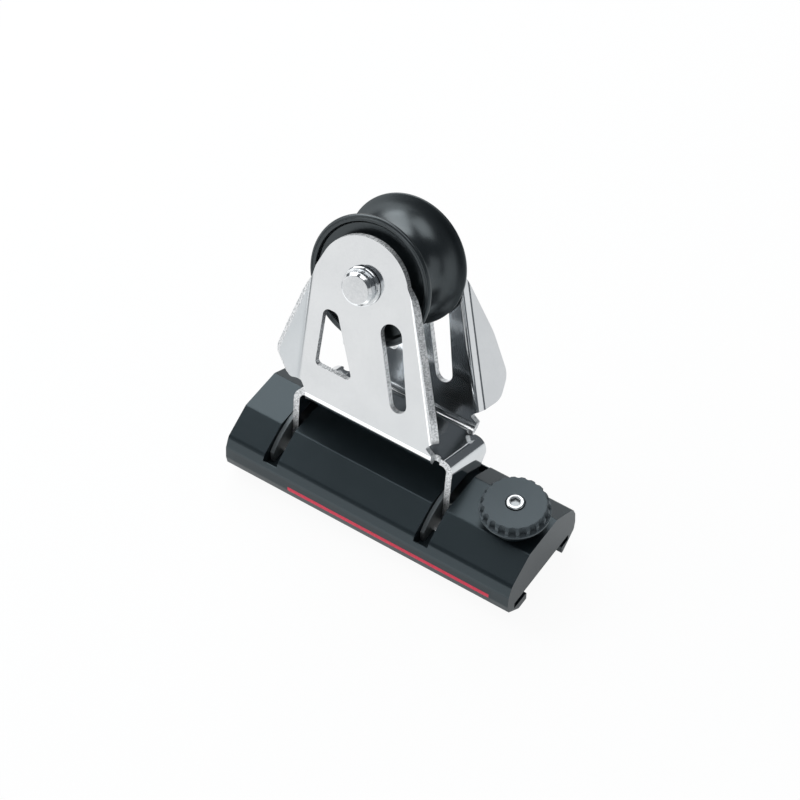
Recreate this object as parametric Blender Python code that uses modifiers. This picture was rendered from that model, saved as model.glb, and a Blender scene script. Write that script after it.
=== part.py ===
"""Sailboat track car: a low aluminium slider for a T-shaped track, with a sheave in a tilting steel frame.

The car lies along X, its spring stop at the +X end. The origin is the middle of the track channel's
ceiling, halfway between the two legs of the frame, and +Z is up. All sizes are in metres.
"""
import math

import bmesh
import bpy
from mathutils import Matrix, Vector

# General
GAP = 0.0003                    # space kept between pieces that touch
SHEET = 0.0025                  # thickness of the steel sheet of the frame

# Car body
BODY_LENGTH = 0.1248
BODY_MIDDLE = 0.0093            # middle of the body, from the middle between the legs
TOP_HEIGHT = 0.0194             # top face over the channel's ceiling
TOP_HALF = 0.0093               # half width of the top face
SHOULDER_HALF = 0.0209
SHOULDER_DROP = 0.0066
SIDE_UPPER_HALF = 0.0229
SIDE_UPPER_DROP = 0.0112
SIDE_HALF = 0.0233
SIDE_DROP = 0.0165
SKIRT_HALF = 0.0226
SKIRT_DROP = 0.0203
FOOT_HALF = 0.0153
BODY_HEIGHT = 0.0262            # top face to the underside of the lips
END_BEVEL = 0.0005

# Track channel
CHANNEL_HALF = 0.0186           # to the end of the grooves
GROOVE_HEIGHT = 0.0031
LIP_NEAR = 0.0101               # inner edge of the near lip, from the middle plane
LIP_FAR = 0.0144
GUIDE_THICKNESS = 0.0016
GUIDE_SETBACK = 0.0030

# Cross slots, pivot rod and slot liners
LINER_THICKNESS = 0.0016
SLOT_WIDTH = 0.0062
SLOT_DROP = 0.0090              # floor of the slots under the top face
POCKET_OVERRUN = 0.0012         # pockets break through the channel's ceiling
LINER_HALF = 0.0175
LINER_END_DROP = 0.0079
PIVOT_DROP = 0.0110             # pivot axis under the top face
ROD_RADIUS = 0.0030
ROD_PAST = 0.0084               # rod's right end past the right leg

# Side label strip
LABEL_LEFT_INSET = 0.0038       # from the body's ends
LABEL_RIGHT_INSET = 0.0077
LABEL_TOP_DROP = 0.0127
LABEL_HEIGHT = 0.0056
LABEL_FLOOR = 0.0223            # recess floor, from the middle plane
LABEL_THICKNESS = 0.0005

# Steel frame
LEAN = math.radians(23.0)       # the frame lies back against its stop by this much
LEG_OUTER = 0.0346              # outer face of the legs, from the middle
LEG_HALF = 0.0126
LEG_END_RADIUS = 0.0070         # legs' round lower end, about the pivot
WEB_UNDER = 0.0225              # underside of the web over the pivot
CHEEK_FOOT_LEFT = 0.0279        # ends of the bend between web and cheek, from the middle
CHEEK_FOOT_RIGHT = 0.0269
BEND_INNER = 0.0025             # inside radius of every bend
RELIEF_RADIUS = 0.0016
PIN_X = -0.0156                 # sheave axle, from the middle
PIN_HEIGHT = 0.0787             # sheave axle over the pivot
CHEEK_TOP_RADIUS = 0.0187
LEFT_EDGE_OFFSET = 0.0199       # left edge of the cheeks from the axle
LEFT_EDGE_SLANT = math.radians(5.9)
RIGHT_EDGE_SLANT = math.radians(23.1)
WING_FOOT_RISE = 0.0060         # lower end of the wings over the web
FOOT_NOTCH = 0.0019
FLARE = math.radians(55.0)      # wings turn out by this much
LEFT_WING_PAST = 0.0051         # top of the left wings past the axle's height
LEFT_WING_REACH = 0.0114
RIGHT_WING_REACH = 0.0136
WINDOW_TOP_DROP = 0.0152        # left window's top under the axle
WINDOW_RISE = 0.0151            # windows' lower ends over the web

# Sheave and axle
SHEAVE_RADIUS = 0.0250
SHEAVE_HALF = 0.0136
GROOVE_HALF = 0.0119
GROOVE_DEPTH = 0.0095
RIM_STEP = 0.0010
DISH_INNER = 0.0132
DISH_OUTER = 0.0226
DISH_DEPTH = 0.0012
AXLE_RADIUS = 0.0047
AXLE_HEAD_RADIUS = 0.0064
AXLE_HEAD_HEIGHT = 0.0048
AXLE_COLLAR_RADIUS = 0.0075
AXLE_COLLAR_HEIGHT = 0.0011
AXLE_NUT_RADIUS = 0.0066
AXLE_NUT_HEIGHT = 0.0034
RACE_RADIUS = 0.0068
ROLLER_RADIUS = 0.0016
ROLLERS = 10
WASHER_OUTER = 0.0118
WASHER_PLAY = 0.0004

# Spring stop
STOP_SETBACK = 0.0124           # stop's axis from the body's right end
STOP_RADIUS = 0.0030
STOP_REACH = 0.0046             # stop pin under the channel's ceiling
STOP_SHANK_RADIUS = 0.0022
STOP_COLLAR_RADIUS = 0.0045
STOP_COLLAR_DROP = 0.0127       # top of the pin's collar under the body's top face
STOP_COLLAR_HEIGHT = 0.0015
COUNTERBORE_RADIUS = 0.0052
CAP_RADIUS = 0.0092
CAP_HEIGHT = 0.0064
CAP_SHANK_DROP = 0.0020
KNOB_RADIUS = 0.0132
KNOB_GRIP_RADIUS = 0.0126
KNOB_FACE_RADIUS = 0.0112
KNOB_UNDER = 0.0070             # knob's underside over the body's top face
KNOB_HEIGHT = 0.0046
KNOB_FLANGE = 0.0010
KNOB_HOLLOW_RADIUS = 0.0106
KNOB_HOLLOW_DEPTH = 0.0018
SCALLOPS = 20
SCALLOP_RADIUS = 0.00135
SCREW_RADIUS = 0.0034
SOCKET_RADIUS = 0.0021
SCREW_PROUD = 0.0006
SCREW_HEAD = 0.0018
SCREW_SHANK = 0.0014
SPRING_COILS = 4.5
SPRING_RADIUS = 0.0034
SPRING_WIRE = 0.00045

PIVOT_Z = TOP_HEIGHT - PIVOT_DROP
BODY_LEFT = BODY_MIDDLE - BODY_LENGTH / 2.0
BODY_RIGHT = BODY_MIDDLE + BODY_LENGTH / 2.0
LABEL_LEFT = BODY_LEFT + LABEL_LEFT_INSET
LABEL_RIGHT = BODY_RIGHT - LABEL_RIGHT_INSET
STOP_X = BODY_RIGHT - STOP_SETBACK
ROD_RIGHT = LEG_OUTER + ROD_PAST
BEND_OUTER = BEND_INNER + SHEET
CHEEK_OUTER = LEG_HALF + BEND_OUTER + GAP       # outer face of the cheeks
CHEEK_INNER = CHEEK_OUTER - SHEET
WASHER_THICKNESS = CHEEK_INNER - SHEAVE_HALF - 2.0 * WASHER_PLAY
WEB_TOP = WEB_UNDER + SHEET
EDGE_BOTTOM = WEB_TOP + WING_FOOT_RISE
EDGE_BOTTOM_DROP = PIN_HEIGHT - EDGE_BOTTOM
WINDOW_BOTTOM = WEB_TOP + WINDOW_RISE
LEG_INNER = LEG_OUTER - SHEET


def clear_scene():
    """Removes whatever the scene holds."""
    for obj in list(bpy.data.objects):
        bpy.data.objects.remove(obj, do_unlink=True)


def new_collection(name):
    """A collection of that name under the scene."""
    collection = bpy.data.collections.new(name)
    bpy.context.scene.collection.children.link(collection)
    return collection


clear_scene()
PARTS = new_collection("sailboat_track_car")
CUTTERS = new_collection("cutters")


def material(name, colour, metallic, roughness):
    """A plain surface of one colour."""
    made = bpy.data.materials.new(name)
    made.use_nodes = True
    shader = made.node_tree.nodes["Principled BSDF"]
    shader.inputs["Base Color"].default_value = (*colour, 1.0)
    shader.inputs["Metallic"].default_value = metallic
    shader.inputs["Roughness"].default_value = roughness
    made.diffuse_color = (*colour, 1.0)
    return made


def add_object(name, mesh, collection=None):
    """Links a mesh as a named object."""
    obj = bpy.data.objects.new(name, mesh)
    (collection or PARTS).objects.link(obj)
    return obj


def add_empty(name, location, rotation=(0.0, 0.0, 0.0), parent=None):
    """An axis that pieces are parented to."""
    empty = bpy.data.objects.new(name, None)
    empty.empty_display_size = 0.01
    empty.location = location
    empty.rotation_euler = rotation
    empty.parent = parent
    PARTS.objects.link(empty)
    return empty


def evaluated_mesh(obj):
    """The object's mesh with its modifiers or its curve's tube applied."""
    bpy.context.view_layer.update()
    depsgraph = bpy.context.evaluated_depsgraph_get()
    return bpy.data.meshes.new_from_object(obj.evaluated_get(depsgraph))


def tidy_mesh(mesh, distance=1e-6):
    """Joins doubled points and turns the faces out."""
    bm = bmesh.new()
    bm.from_mesh(mesh)
    bmesh.ops.remove_doubles(bm, verts=bm.verts, dist=distance)
    bmesh.ops.dissolve_degenerate(bm, edges=bm.edges, dist=1e-7)
    bmesh.ops.recalc_face_normals(bm, faces=bm.faces)
    bm.to_mesh(mesh)
    bm.free()


def filleted(corners, step=math.radians(22.5)):
    """Points of a closed outline of (a, b, radius) corners, each corner rounded to its radius."""
    points = []
    count = len(corners)
    for i, (a, b, radius) in enumerate(corners):
        here = Vector((a, b))
        before = Vector(corners[i - 1][:2]) - here
        after = Vector(corners[(i + 1) % count][:2]) - here
        if radius <= 0.0:
            points.append((a, b))
            continue
        before.normalize()
        after.normalize()
        half = math.acos(max(-1.0, min(1.0, before.dot(after)))) / 2.0
        middle = here + (before + after).normalized() * (radius / math.sin(half))
        start = here + before * (radius / math.tan(half)) - middle
        turn = math.pi - 2.0 * half
        side = 1.0 if before.cross(after) < 0.0 else -1.0
        steps = max(2, math.ceil(turn / step))
        for k in range(steps + 1):
            angle = side * turn * k / steps
            points.append((
                middle.x + start.x * math.cos(angle) - start.y * math.sin(angle),
                middle.y + start.x * math.sin(angle) + start.y * math.cos(angle),
            ))
    return points


def circle(radius, centre=(0.0, 0.0), steps=32):
    """Points of a circle."""
    return [
        (
            centre[0] + radius * math.cos(2.0 * math.pi * k / steps),
            centre[1] + radius * math.sin(2.0 * math.pi * k / steps),
        )
        for k in range(steps)
    ]


def arc(radius, first, last, steps, centre=(0.0, 0.0)):
    """Points of an arc from one angle to another."""
    return [
        (
            centre[0] + radius * math.cos(first + (last - first) * k / steps),
            centre[1] + radius * math.sin(first + (last - first) * k / steps),
        )
        for k in range(steps + 1)
    ]


PLANES = {
    "XY": Matrix.Identity(4),
    "YZ": Matrix(((0, 0, 1, 0), (1, 0, 0, 0), (0, 1, 0, 0), (0, 0, 0, 1))),
    "XZ": Matrix(((1, 0, 0, 0), (0, 0, -1, 0), (0, 1, 0, 0), (0, 0, 0, 1))),
}


def plate(name, loops, half, frame, collection=None):
    """A flat outline, with holes where it has more loops, made solid to both sides of its plane."""
    curve = bpy.data.curves.new(name + "_outline", "CURVE")
    curve.dimensions = "2D"
    curve.fill_mode = "BOTH"
    curve.extrude = half
    for loop in loops:
        spline = curve.splines.new("POLY")
        spline.points.add(len(loop) - 1)
        for point, (a, b) in zip(spline.points, loop):
            point.co = (a, b, 0.0, 1.0)
        spline.use_cyclic_u = True
    guide = add_object(name + "_outline", curve, CUTTERS)
    mesh = evaluated_mesh(guide)
    bpy.data.objects.remove(guide, do_unlink=True)
    tidy_mesh(mesh)
    mesh.transform(PLANES[frame] if isinstance(frame, str) else frame)
    tidy_mesh(mesh)
    mesh.name = name
    return add_object(name, mesh, collection)


def turned(name, profile, steps=48, along="Z", centre=(0.0, 0.0, 0.0), closed=False, collection=None):
    """A turned piece from its (radius, height) profile, which runs down its outer side."""
    mesh = bpy.data.meshes.new(name)
    count = len(profile)
    edges = [(i, i + 1) for i in range(count - 1)]
    if closed:
        edges.append((count - 1, 0))
    mesh.from_pydata([(r, 0.0, z) for r, z in profile], edges, [])
    obj = add_object(name, mesh, collection)
    screw = obj.modifiers.new("turn", "SCREW")
    screw.axis = "Z"
    screw.steps = steps
    screw.render_steps = steps
    screw.use_merge_vertices = True
    screw.merge_threshold = 0.00001
    made = evaluated_mesh(obj)
    bpy.data.objects.remove(obj, do_unlink=True)
    tidy_mesh(made)
    turn = {
        "Z": Matrix.Identity(4),
        "Y": Matrix.Rotation(math.radians(90.0), 4, "X"),
        "X": Matrix.Rotation(math.radians(90.0), 4, "Y"),
    }[along]
    made.transform(Matrix.Translation(centre) @ turn)
    made.name = name
    return add_object(name, made, collection)


def rod(name, radius, low, high, along, centre=(0.0, 0.0, 0.0), chamfer=0.0, steps=32, collection=None):
    """A plain round bar from low to high along an axis, with chamfered ends where asked."""
    profile = [(0.0, high)]
    if chamfer > 0.0:
        profile += [(radius - chamfer, high), (radius, high - chamfer)]
        profile += [(radius, low + chamfer), (radius - chamfer, low)]
    else:
        profile += [(radius, high), (radius, low)]
    profile.append((0.0, low))
    return turned(name, profile, steps, along, centre, collection=collection)


def box(name, low, high, collection=None):
    """A block between two corners."""
    bm = bmesh.new()
    bmesh.ops.create_cube(bm, size=1.0)
    size = [b - a for a, b in zip(low, high)]
    middle = [(a + b) / 2.0 for a, b in zip(low, high)]
    bmesh.ops.scale(bm, vec=size, verts=bm.verts)
    bmesh.ops.translate(bm, vec=middle, verts=bm.verts)
    mesh = bpy.data.meshes.new(name)
    bm.to_mesh(mesh)
    bm.free()
    return add_object(name, mesh, collection)


def combine(obj, other, operation):
    """Cuts, joins or intersects the object with another, which is kept as a guide."""
    for collection in list(other.users_collection):
        collection.objects.unlink(other)
    CUTTERS.objects.link(other)
    other.hide_render = True
    other.display_type = "WIRE"
    modifier = obj.modifiers.new(operation.lower() + "_" + other.name, "BOOLEAN")
    modifier.operation = operation
    modifier.solver = "EXACT"
    modifier.object = other


def finish(obj, surface, parent=None, smooth=30.0):
    """Gives the piece its surface, its parent and smooth shading with sharp edges."""
    mesh = obj.data
    mesh.materials.clear()
    mesh.materials.append(surface)
    mesh.shade_smooth()
    mesh.set_sharp_from_angle(angle=math.radians(smooth))
    obj.parent = parent
    return obj


BLACK_ANODISED = material("satin_black_anodised", (0.020, 0.022, 0.024), 0.6, 0.38)
GLOSS_ANODISED = material("gloss_black_anodised", (0.012, 0.012, 0.013), 0.7, 0.22)
STAINLESS = material("polished_stainless", (0.62, 0.62, 0.61), 1.0, 0.20)
DARK_PLASTIC = material("dark_grey_plastic", (0.055, 0.058, 0.062), 0.0, 0.45)
LINER_PLASTIC = material("liner_plastic", (0.045, 0.047, 0.050), 0.0, 0.50)
LABEL_FILM = material("label_film", (0.015, 0.015, 0.017), 0.0, 0.30)
SPRING_STEEL = material("spring_steel", (0.45, 0.45, 0.44), 1.0, 0.30)


def leg_normal():
    """Outward direction of a leg's slanted edge: (up the leg, across it)."""
    top = WEB_UNDER - BEND_INNER - GAP
    turn = math.atan2(LEG_HALF, top) + math.acos(LEG_END_RADIUS / math.hypot(top, LEG_HALF))
    return Vector((math.cos(turn), math.sin(turn)))


def pocket_half():
    """Half width of the pockets, whose upper corners stop the leaning legs."""
    up, out = leg_normal()
    rise = PIVOT_DROP - SLOT_DROP
    reach = LEG_END_RADIUS + GAP + rise * (out * math.sin(LEAN) - up * math.cos(LEAN))
    return reach / (out * math.cos(LEAN) + up * math.sin(LEAN)) + GAP / 4.0


def body_half(lip):
    """Half of the body's section from the top's middle to the ceiling's middle, its lip ending there."""
    lip_low = TOP_HEIGHT - BODY_HEIGHT
    top = TOP_HEIGHT
    return [
        (TOP_HALF, top, 0.0010),
        (SHOULDER_HALF, top - SHOULDER_DROP, 0.0030),
        (SIDE_UPPER_HALF, top - SIDE_UPPER_DROP, 0.0030),
        (SIDE_HALF, top - SIDE_DROP, 0.0050),
        (SKIRT_HALF, top - SKIRT_DROP, 0.0012),
        (FOOT_HALF, lip_low, 0.0012),
        (lip, lip_low, 0.0003),
        (lip, -GROOVE_HEIGHT, 0.0003),
        (CHANNEL_HALF, -GROOVE_HEIGHT, 0.0003),
        (CHANNEL_HALF, 0.0, 0.0003),
    ]


def slot_left_faces():
    """Left wall of each cross slot: the liner stands between it and the leg."""
    margin = LINER_THICKNESS + 2.0 * GAP
    return [-LEG_OUTER - margin, LEG_INNER - margin]


def make_body():
    """The extruded body with its slots, pockets, bores and label recess."""
    near = [(-a, b, r) for a, b, r in reversed(body_half(LIP_NEAR))]
    section = filleted(body_half(LIP_FAR) + near)
    body = plate("car_body", [section], BODY_LENGTH / 2.0, "YZ")
    body.data.transform(Matrix.Translation(((BODY_LEFT + BODY_RIGHT) / 2.0, 0.0, 0.0)))
    bm = bmesh.new()
    bm.from_mesh(body.data)
    weight = bm.edges.layers.float.new("bevel_weight_edge")
    for edge in bm.edges:
        xs = [v.co.x for v in edge.verts]
        at_end = all(abs(x - BODY_LEFT) < 1e-5 for x in xs) or all(abs(x - BODY_RIGHT) < 1e-5 for x in xs)
        if at_end and any(abs(f.normal.x) < 0.5 for f in edge.link_faces):
            edge[weight] = 1.0
    bm.to_mesh(body.data)
    bm.free()
    bevel = body.modifiers.new("end_bevel", "BEVEL")
    bevel.limit_method = "WEIGHT"
    bevel.width = END_BEVEL
    bevel.segments = 1
    for i, left in enumerate(slot_left_faces()):
        right = left + SLOT_WIDTH
        side = "left" if i == 0 else "right"
        floor = TOP_HEIGHT - SLOT_DROP
        pocket = pocket_half()
        outline = [
            (-0.04, floor),
            (-pocket, floor),
            (-pocket, -POCKET_OVERRUN),
            (pocket, -POCKET_OVERRUN),
            (pocket, floor),
            (0.04, floor),
            (0.04, TOP_HEIGHT + 0.01),
            (-0.04, TOP_HEIGHT + 0.01),
        ]
        slot = plate("slot_" + side, [outline], SLOT_WIDTH / 2.0, "YZ")
        slot.data.transform(Matrix.Translation(((left + right) / 2.0, 0.0, 0.0)))
        combine(body, slot, "DIFFERENCE")
    bore = rod("rod_bore", ROD_RADIUS + GAP, BODY_LEFT - 0.01, ROD_RIGHT + GAP, "X", (0.0, 0.0, PIVOT_Z))
    combine(body, bore, "DIFFERENCE")
    low = TOP_HEIGHT - STOP_COLLAR_DROP - STOP_COLLAR_HEIGHT - GAP
    centre = (STOP_X, 0.0, 0.0)
    bore = [
        (0.0, TOP_HEIGHT + 0.005),
        (COUNTERBORE_RADIUS, TOP_HEIGHT + 0.005),
        (COUNTERBORE_RADIUS, low),
        (STOP_RADIUS + GAP, low),
        (STOP_RADIUS + GAP, -0.005),
        (0.0, -0.005),
    ]
    combine(body, turned("stop_bore", bore, 32, "Z", centre), "DIFFERENCE")
    label_top = TOP_HEIGHT - LABEL_TOP_DROP
    recess = box(
        "label_recess",
        (LABEL_LEFT, -0.03, label_top - LABEL_HEIGHT),
        (LABEL_RIGHT, -LABEL_FLOOR, label_top),
    )
    combine(body, recess, "DIFFERENCE")
    return finish(body, BLACK_ANODISED)


def make_label():
    """The thin strip let into the near side."""
    top = TOP_HEIGHT - LABEL_TOP_DROP - GAP
    label = box(
        "side_label_strip",
        (LABEL_LEFT + GAP, -LABEL_FLOOR - GAP - LABEL_THICKNESS, top - LABEL_HEIGHT + 2.0 * GAP),
        (LABEL_RIGHT - GAP, -LABEL_FLOOR - GAP, top),
    )
    return finish(label, LABEL_FILM)


def make_guides():
    """Plastic strips in the grooves that bear on the track's edges."""
    for name, side in (("track_guide_near", -1.0), ("track_guide_far", 1.0)):
        outer = CHANNEL_HALF - GAP
        ys = sorted((side * outer, side * (outer - GUIDE_THICKNESS)))
        guide = box(
            name,
            (BODY_LEFT + GUIDE_SETBACK, ys[0], -GROOVE_HEIGHT + GAP),
            (BODY_RIGHT - GUIDE_SETBACK, ys[1], -GAP),
        )
        finish(guide, LINER_PLASTIC)


def make_liners():
    """Arched plastic plates that the legs rub against, one in each cross slot."""
    top = TOP_HEIGHT
    radius = (LINER_HALF ** 2 + LINER_END_DROP ** 2) / (2.0 * LINER_END_DROP)
    reach = math.asin(LINER_HALF / radius)
    ledge = top - SLOT_DROP + GAP
    neck = pocket_half() - 2.0 * GAP
    foot = 0.6 * neck
    for name, left in zip(("slot_liner_left", "slot_liner_right"), slot_left_faces()):
        outline = arc(radius, math.pi / 2.0 - reach, math.pi / 2.0 + reach, 20, (0.0, top - radius))
        outline += [
            (-LINER_HALF, ledge),
            (-neck, ledge),
            (-neck, PIVOT_Z),
            (-foot, 4.0 * GAP),
            (foot, 4.0 * GAP),
            (neck, PIVOT_Z),
            (neck, ledge),
            (LINER_HALF, ledge),
        ]
        hole = circle(ROD_RADIUS + GAP, (0.0, PIVOT_Z), 24)
        liner = plate(name, [outline, hole], LINER_THICKNESS / 2.0, "YZ")
        liner.data.transform(Matrix.Translation((left + GAP + LINER_THICKNESS / 2.0, 0.0, 0.0)))
        finish(liner, LINER_PLASTIC)


def make_rod():
    """The pivot rod through the body and both legs."""
    low = BODY_LEFT + 0.0010
    finish(rod("pivot_rod", ROD_RADIUS, low, ROD_RIGHT, "X", (0.0, 0.0, PIVOT_Z), 0.0005), STAINLESS)


def edge_normal(side):
    """Outward direction, in the cheek's plane, of its left (-1) or right (+1) edge."""
    slant = LEFT_EDGE_SLANT if side < 0 else RIGHT_EDGE_SLANT
    if side < 0:
        return Vector((-math.cos(slant), -math.sin(slant)))
    return Vector((math.cos(slant), math.sin(slant)))


def edge_foot(side):
    """Lower end of that edge, where its wing ends."""
    normal = edge_normal(side)
    offset = LEFT_EDGE_OFFSET if side < 0 else CHEEK_TOP_RADIUS
    across = (offset + normal.y * EDGE_BOTTOM_DROP) / normal.x
    return Vector((PIN_X + across, EDGE_BOTTOM))


def edge_way(side):
    """Direction up that edge."""
    normal = edge_normal(side)
    way = Vector((-normal.y, normal.x))
    return way if way.y > 0.0 else -way


def wing_length(side):
    """Length of a wing along its bend, from the edge's lower end to beside the axle."""
    normal = edge_normal(side)
    if side < 0:
        beside = EDGE_BOTTOM_DROP + normal.y * LEFT_EDGE_OFFSET
        return beside / edge_way(side).y + LEFT_WING_PAST
    return (EDGE_BOTTOM_DROP + normal.y * CHEEK_TOP_RADIUS) / edge_way(side).y - GAP


def wing_corners(side):
    """Rounded outline of a flat wing, from its lower end up: (x, height, radius)."""
    foot = edge_foot(side)
    way = edge_way(side)
    normal = edge_normal(side)
    length = wing_length(side)
    if side < 0:
        reach = LEFT_WING_REACH
        shares = [(0.037, 0.52, 0.04), (0.267, 1.00, 0.08), (0.61, 0.40, 0.30), (0.92, 0.23, 0.06)]
    else:
        reach = RIGHT_WING_REACH
        shares = [(0.077, 0.78, 0.08), (0.21, 1.00, 0.15), (0.50, 0.77, 0.50), (0.935, 0.32, 0.06)]
    marks = [(0.0, 0.0, 0.0)]
    marks += [(length * t, reach * w, length * r) for t, w, r in shares]
    marks.append((length, 0.0, 0.0))
    return [(*(foot + way * t + normal * w), r) for t, w, r in marks]


def cheek_corners():
    """Outline of a cheek with its flat wings, from the right foot over the top: (x, height, radius)."""
    low = EDGE_BOTTOM
    right = edge_foot(1)
    left = edge_foot(-1)
    pin = (PIN_X, PIN_HEIGHT)
    corners = [
        (CHEEK_FOOT_RIGHT, low - FOOT_NOTCH * 1.8, 0.0),
        (right.x - FOOT_NOTCH * 0.6, low - FOOT_NOTCH * 0.9, 0.0006),
    ]
    corners += wing_corners(1)
    head = arc(CHEEK_TOP_RADIUS, RIGHT_EDGE_SLANT + 0.06, math.radians(163.0), 14, pin)
    corners += [(a, b, 0.0) for a, b in head]
    corners += wing_corners(-1)[::-1]
    corners += [
        (left.x + FOOT_NOTCH * 0.8, low - FOOT_NOTCH * 0.9, 0.0006),
        (-CHEEK_FOOT_LEFT, low - FOOT_NOTCH * 1.8, 0.0),
    ]
    return corners


def window_left():
    """Three-cornered window beside the slanted middle web."""
    x = PIN_X
    top = PIN_HEIGHT - WINDOW_TOP_DROP
    return filleted([
        (x - 0.0129, top, 0.0026),
        (x - 0.0112, WINDOW_BOTTOM, 0.0018),
        (x + 0.0051, WINDOW_BOTTOM, 0.0018),
        (x - 0.0070, top, 0.0026),
    ])


def window_right():
    """Long window that narrows downwards between two round ends."""
    first = (PIN_X + 0.0156, PIN_HEIGHT - 0.0134, 0.0044)
    last = (PIN_X + 0.0248, WINDOW_BOTTOM + 0.0006, 0.0035)
    run = Vector((last[0] - first[0], last[1] - first[1]))
    heading = math.atan2(run.y, run.x)
    lean = math.acos((first[2] - last[2]) / run.length)
    upper = arc(first[2], heading + lean, heading + 2.0 * math.pi - lean, 9, first[:2])
    lower = arc(last[2], heading - lean, heading + lean, 7, last[:2])
    return upper + lower


BEND_MIDDLE = BEND_INNER + SHEET / 2.0
QUARTER = BEND_MIDDLE * math.pi / 2.0
WEB_MIDDLE = WEB_UNDER + SHEET / 2.0
CHEEK_LINE = CHEEK_OUTER - BEND_OUTER       # where the cheeks' bends start, from the middle
LEG_LINE = LEG_OUTER - BEND_OUTER           # where the legs' bends start


def cheek_flat(height):
    """Distance across the flat blank of a point of the cheek at that height."""
    return CHEEK_LINE + QUARTER + height - (WEB_MIDDLE + BEND_MIDDLE)


def leg_flat(height):
    """Distance along the flat blank of a point of a leg at that height."""
    return LEG_LINE + QUARTER + (WEB_MIDDLE - BEND_MIDDLE) - height


def leg_corners():
    """Outline of the right leg, which narrows from its bend to a round end about the pivot."""
    top = WEB_MIDDLE - BEND_MIDDLE - GAP
    up, out = leg_normal()
    last = math.atan2(out, -up)
    tip = arc(LEG_END_RADIUS, -last, last, 8, (leg_flat(0.0), 0.0))
    shoulder = leg_flat(top)
    corners = [(shoulder, -LEG_HALF, 0.0)]
    corners += [(a, b, 0.0) for a, b in tip]
    corners.append((shoulder, LEG_HALF, 0.0))
    return corners


def blank_loops():
    """Outline and holes of the flat steel blank: web in the middle, cheeks across, legs at the ends."""
    corners = leg_corners()
    far = [(a, cheek_flat(b), r) for a, b, r in cheek_corners()]
    relief_right = arc(RELIEF_RADIUS, 0.0, -1.5 * math.pi, 9, (CHEEK_FOOT_RIGHT, LEG_HALF))
    relief_left = arc(RELIEF_RADIUS, 0.5 * math.pi, -math.pi, 9, (-CHEEK_FOOT_LEFT, LEG_HALF))
    far = [(a, b, 0.0) for a, b in relief_right] + far + [(a, b, 0.0) for a, b in relief_left]
    corners += far
    corners += [(-a, -b, r) for a, b, r in leg_corners()]
    corners += [(a, -b, r) for a, b, r in reversed(far)]
    loops = [filleted(corners)]
    for face in (-1.0, 1.0):
        holes = [window_left(), window_right(), circle(AXLE_RADIUS + GAP, (PIN_X, PIN_HEIGHT), 24)]
        loops += [[(a, face * cheek_flat(b)) for a, b in hole] for hole in holes]
    for side in (-1.0, 1.0):
        loops.append(circle(ROD_RADIUS + GAP, (side * leg_flat(0.0), 0.0), 16))
    return loops


def bend(distance, radius, angle):
    """Sheet coordinate past a bend line, as (distance on, rise)."""
    if distance <= radius * angle:
        turned_by = max(0.0, distance) / radius
        return radius * math.sin(turned_by) + min(0.0, distance), radius * (1.0 - math.cos(turned_by))
    rest = distance - radius * angle
    on = radius * math.sin(angle) + rest * math.cos(angle)
    return on, radius * (1.0 - math.cos(angle)) + rest * math.sin(angle)


def score_lines(bm, centre, normal, length, chosen, steps=3):
    """Cuts the chosen faces along the lines of one bend."""
    for k in range(steps + 1):
        faces = [f for f in bm.faces if chosen(f.calc_center_median())]
        edges = {e for f in faces for e in f.edges}
        verts = {v for f in faces for v in f.verts}
        place = centre + normal * (length * k / steps)
        bmesh.ops.bisect_plane(
            bm, geom=[*verts, *edges, *faces], dist=1e-7, plane_co=place, plane_no=normal,
        )


def fold_point(u, v):
    """Place in the frame of a point of the flat blank."""
    side = 1 if u > 0.0 else -1
    face = 1.0 if v > 0.0 else -1.0
    if abs(v) > CHEEK_LINE:
        on, rise = bend(abs(v) - CHEEK_LINE, BEND_MIDDLE, math.pi / 2.0)
        across = CHEEK_LINE + on
        height = WEB_MIDDLE + rise
        for edge in (-1, 1):
            normal = edge_normal(edge)
            here = Vector((u, height)) - edge_foot(edge)
            out = here.dot(normal)
            up = here.dot(edge_way(edge))
            if out > 1e-9 and up > -1e-6:
                along, rise = bend(out, BEND_MIDDLE, FLARE)
                place = edge_foot(edge) + edge_way(edge) * up + normal * along
                return Vector((place.x, face * (across + rise), place.y))
        return Vector((u, face * across, height))
    if abs(u) <= LEG_LINE:
        return Vector((u, v, WEB_MIDDLE))
    on, rise = bend(abs(u) - LEG_LINE, BEND_MIDDLE, math.pi / 2.0)
    return Vector((side * (LEG_LINE + on), v, WEB_MIDDLE - rise))


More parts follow.
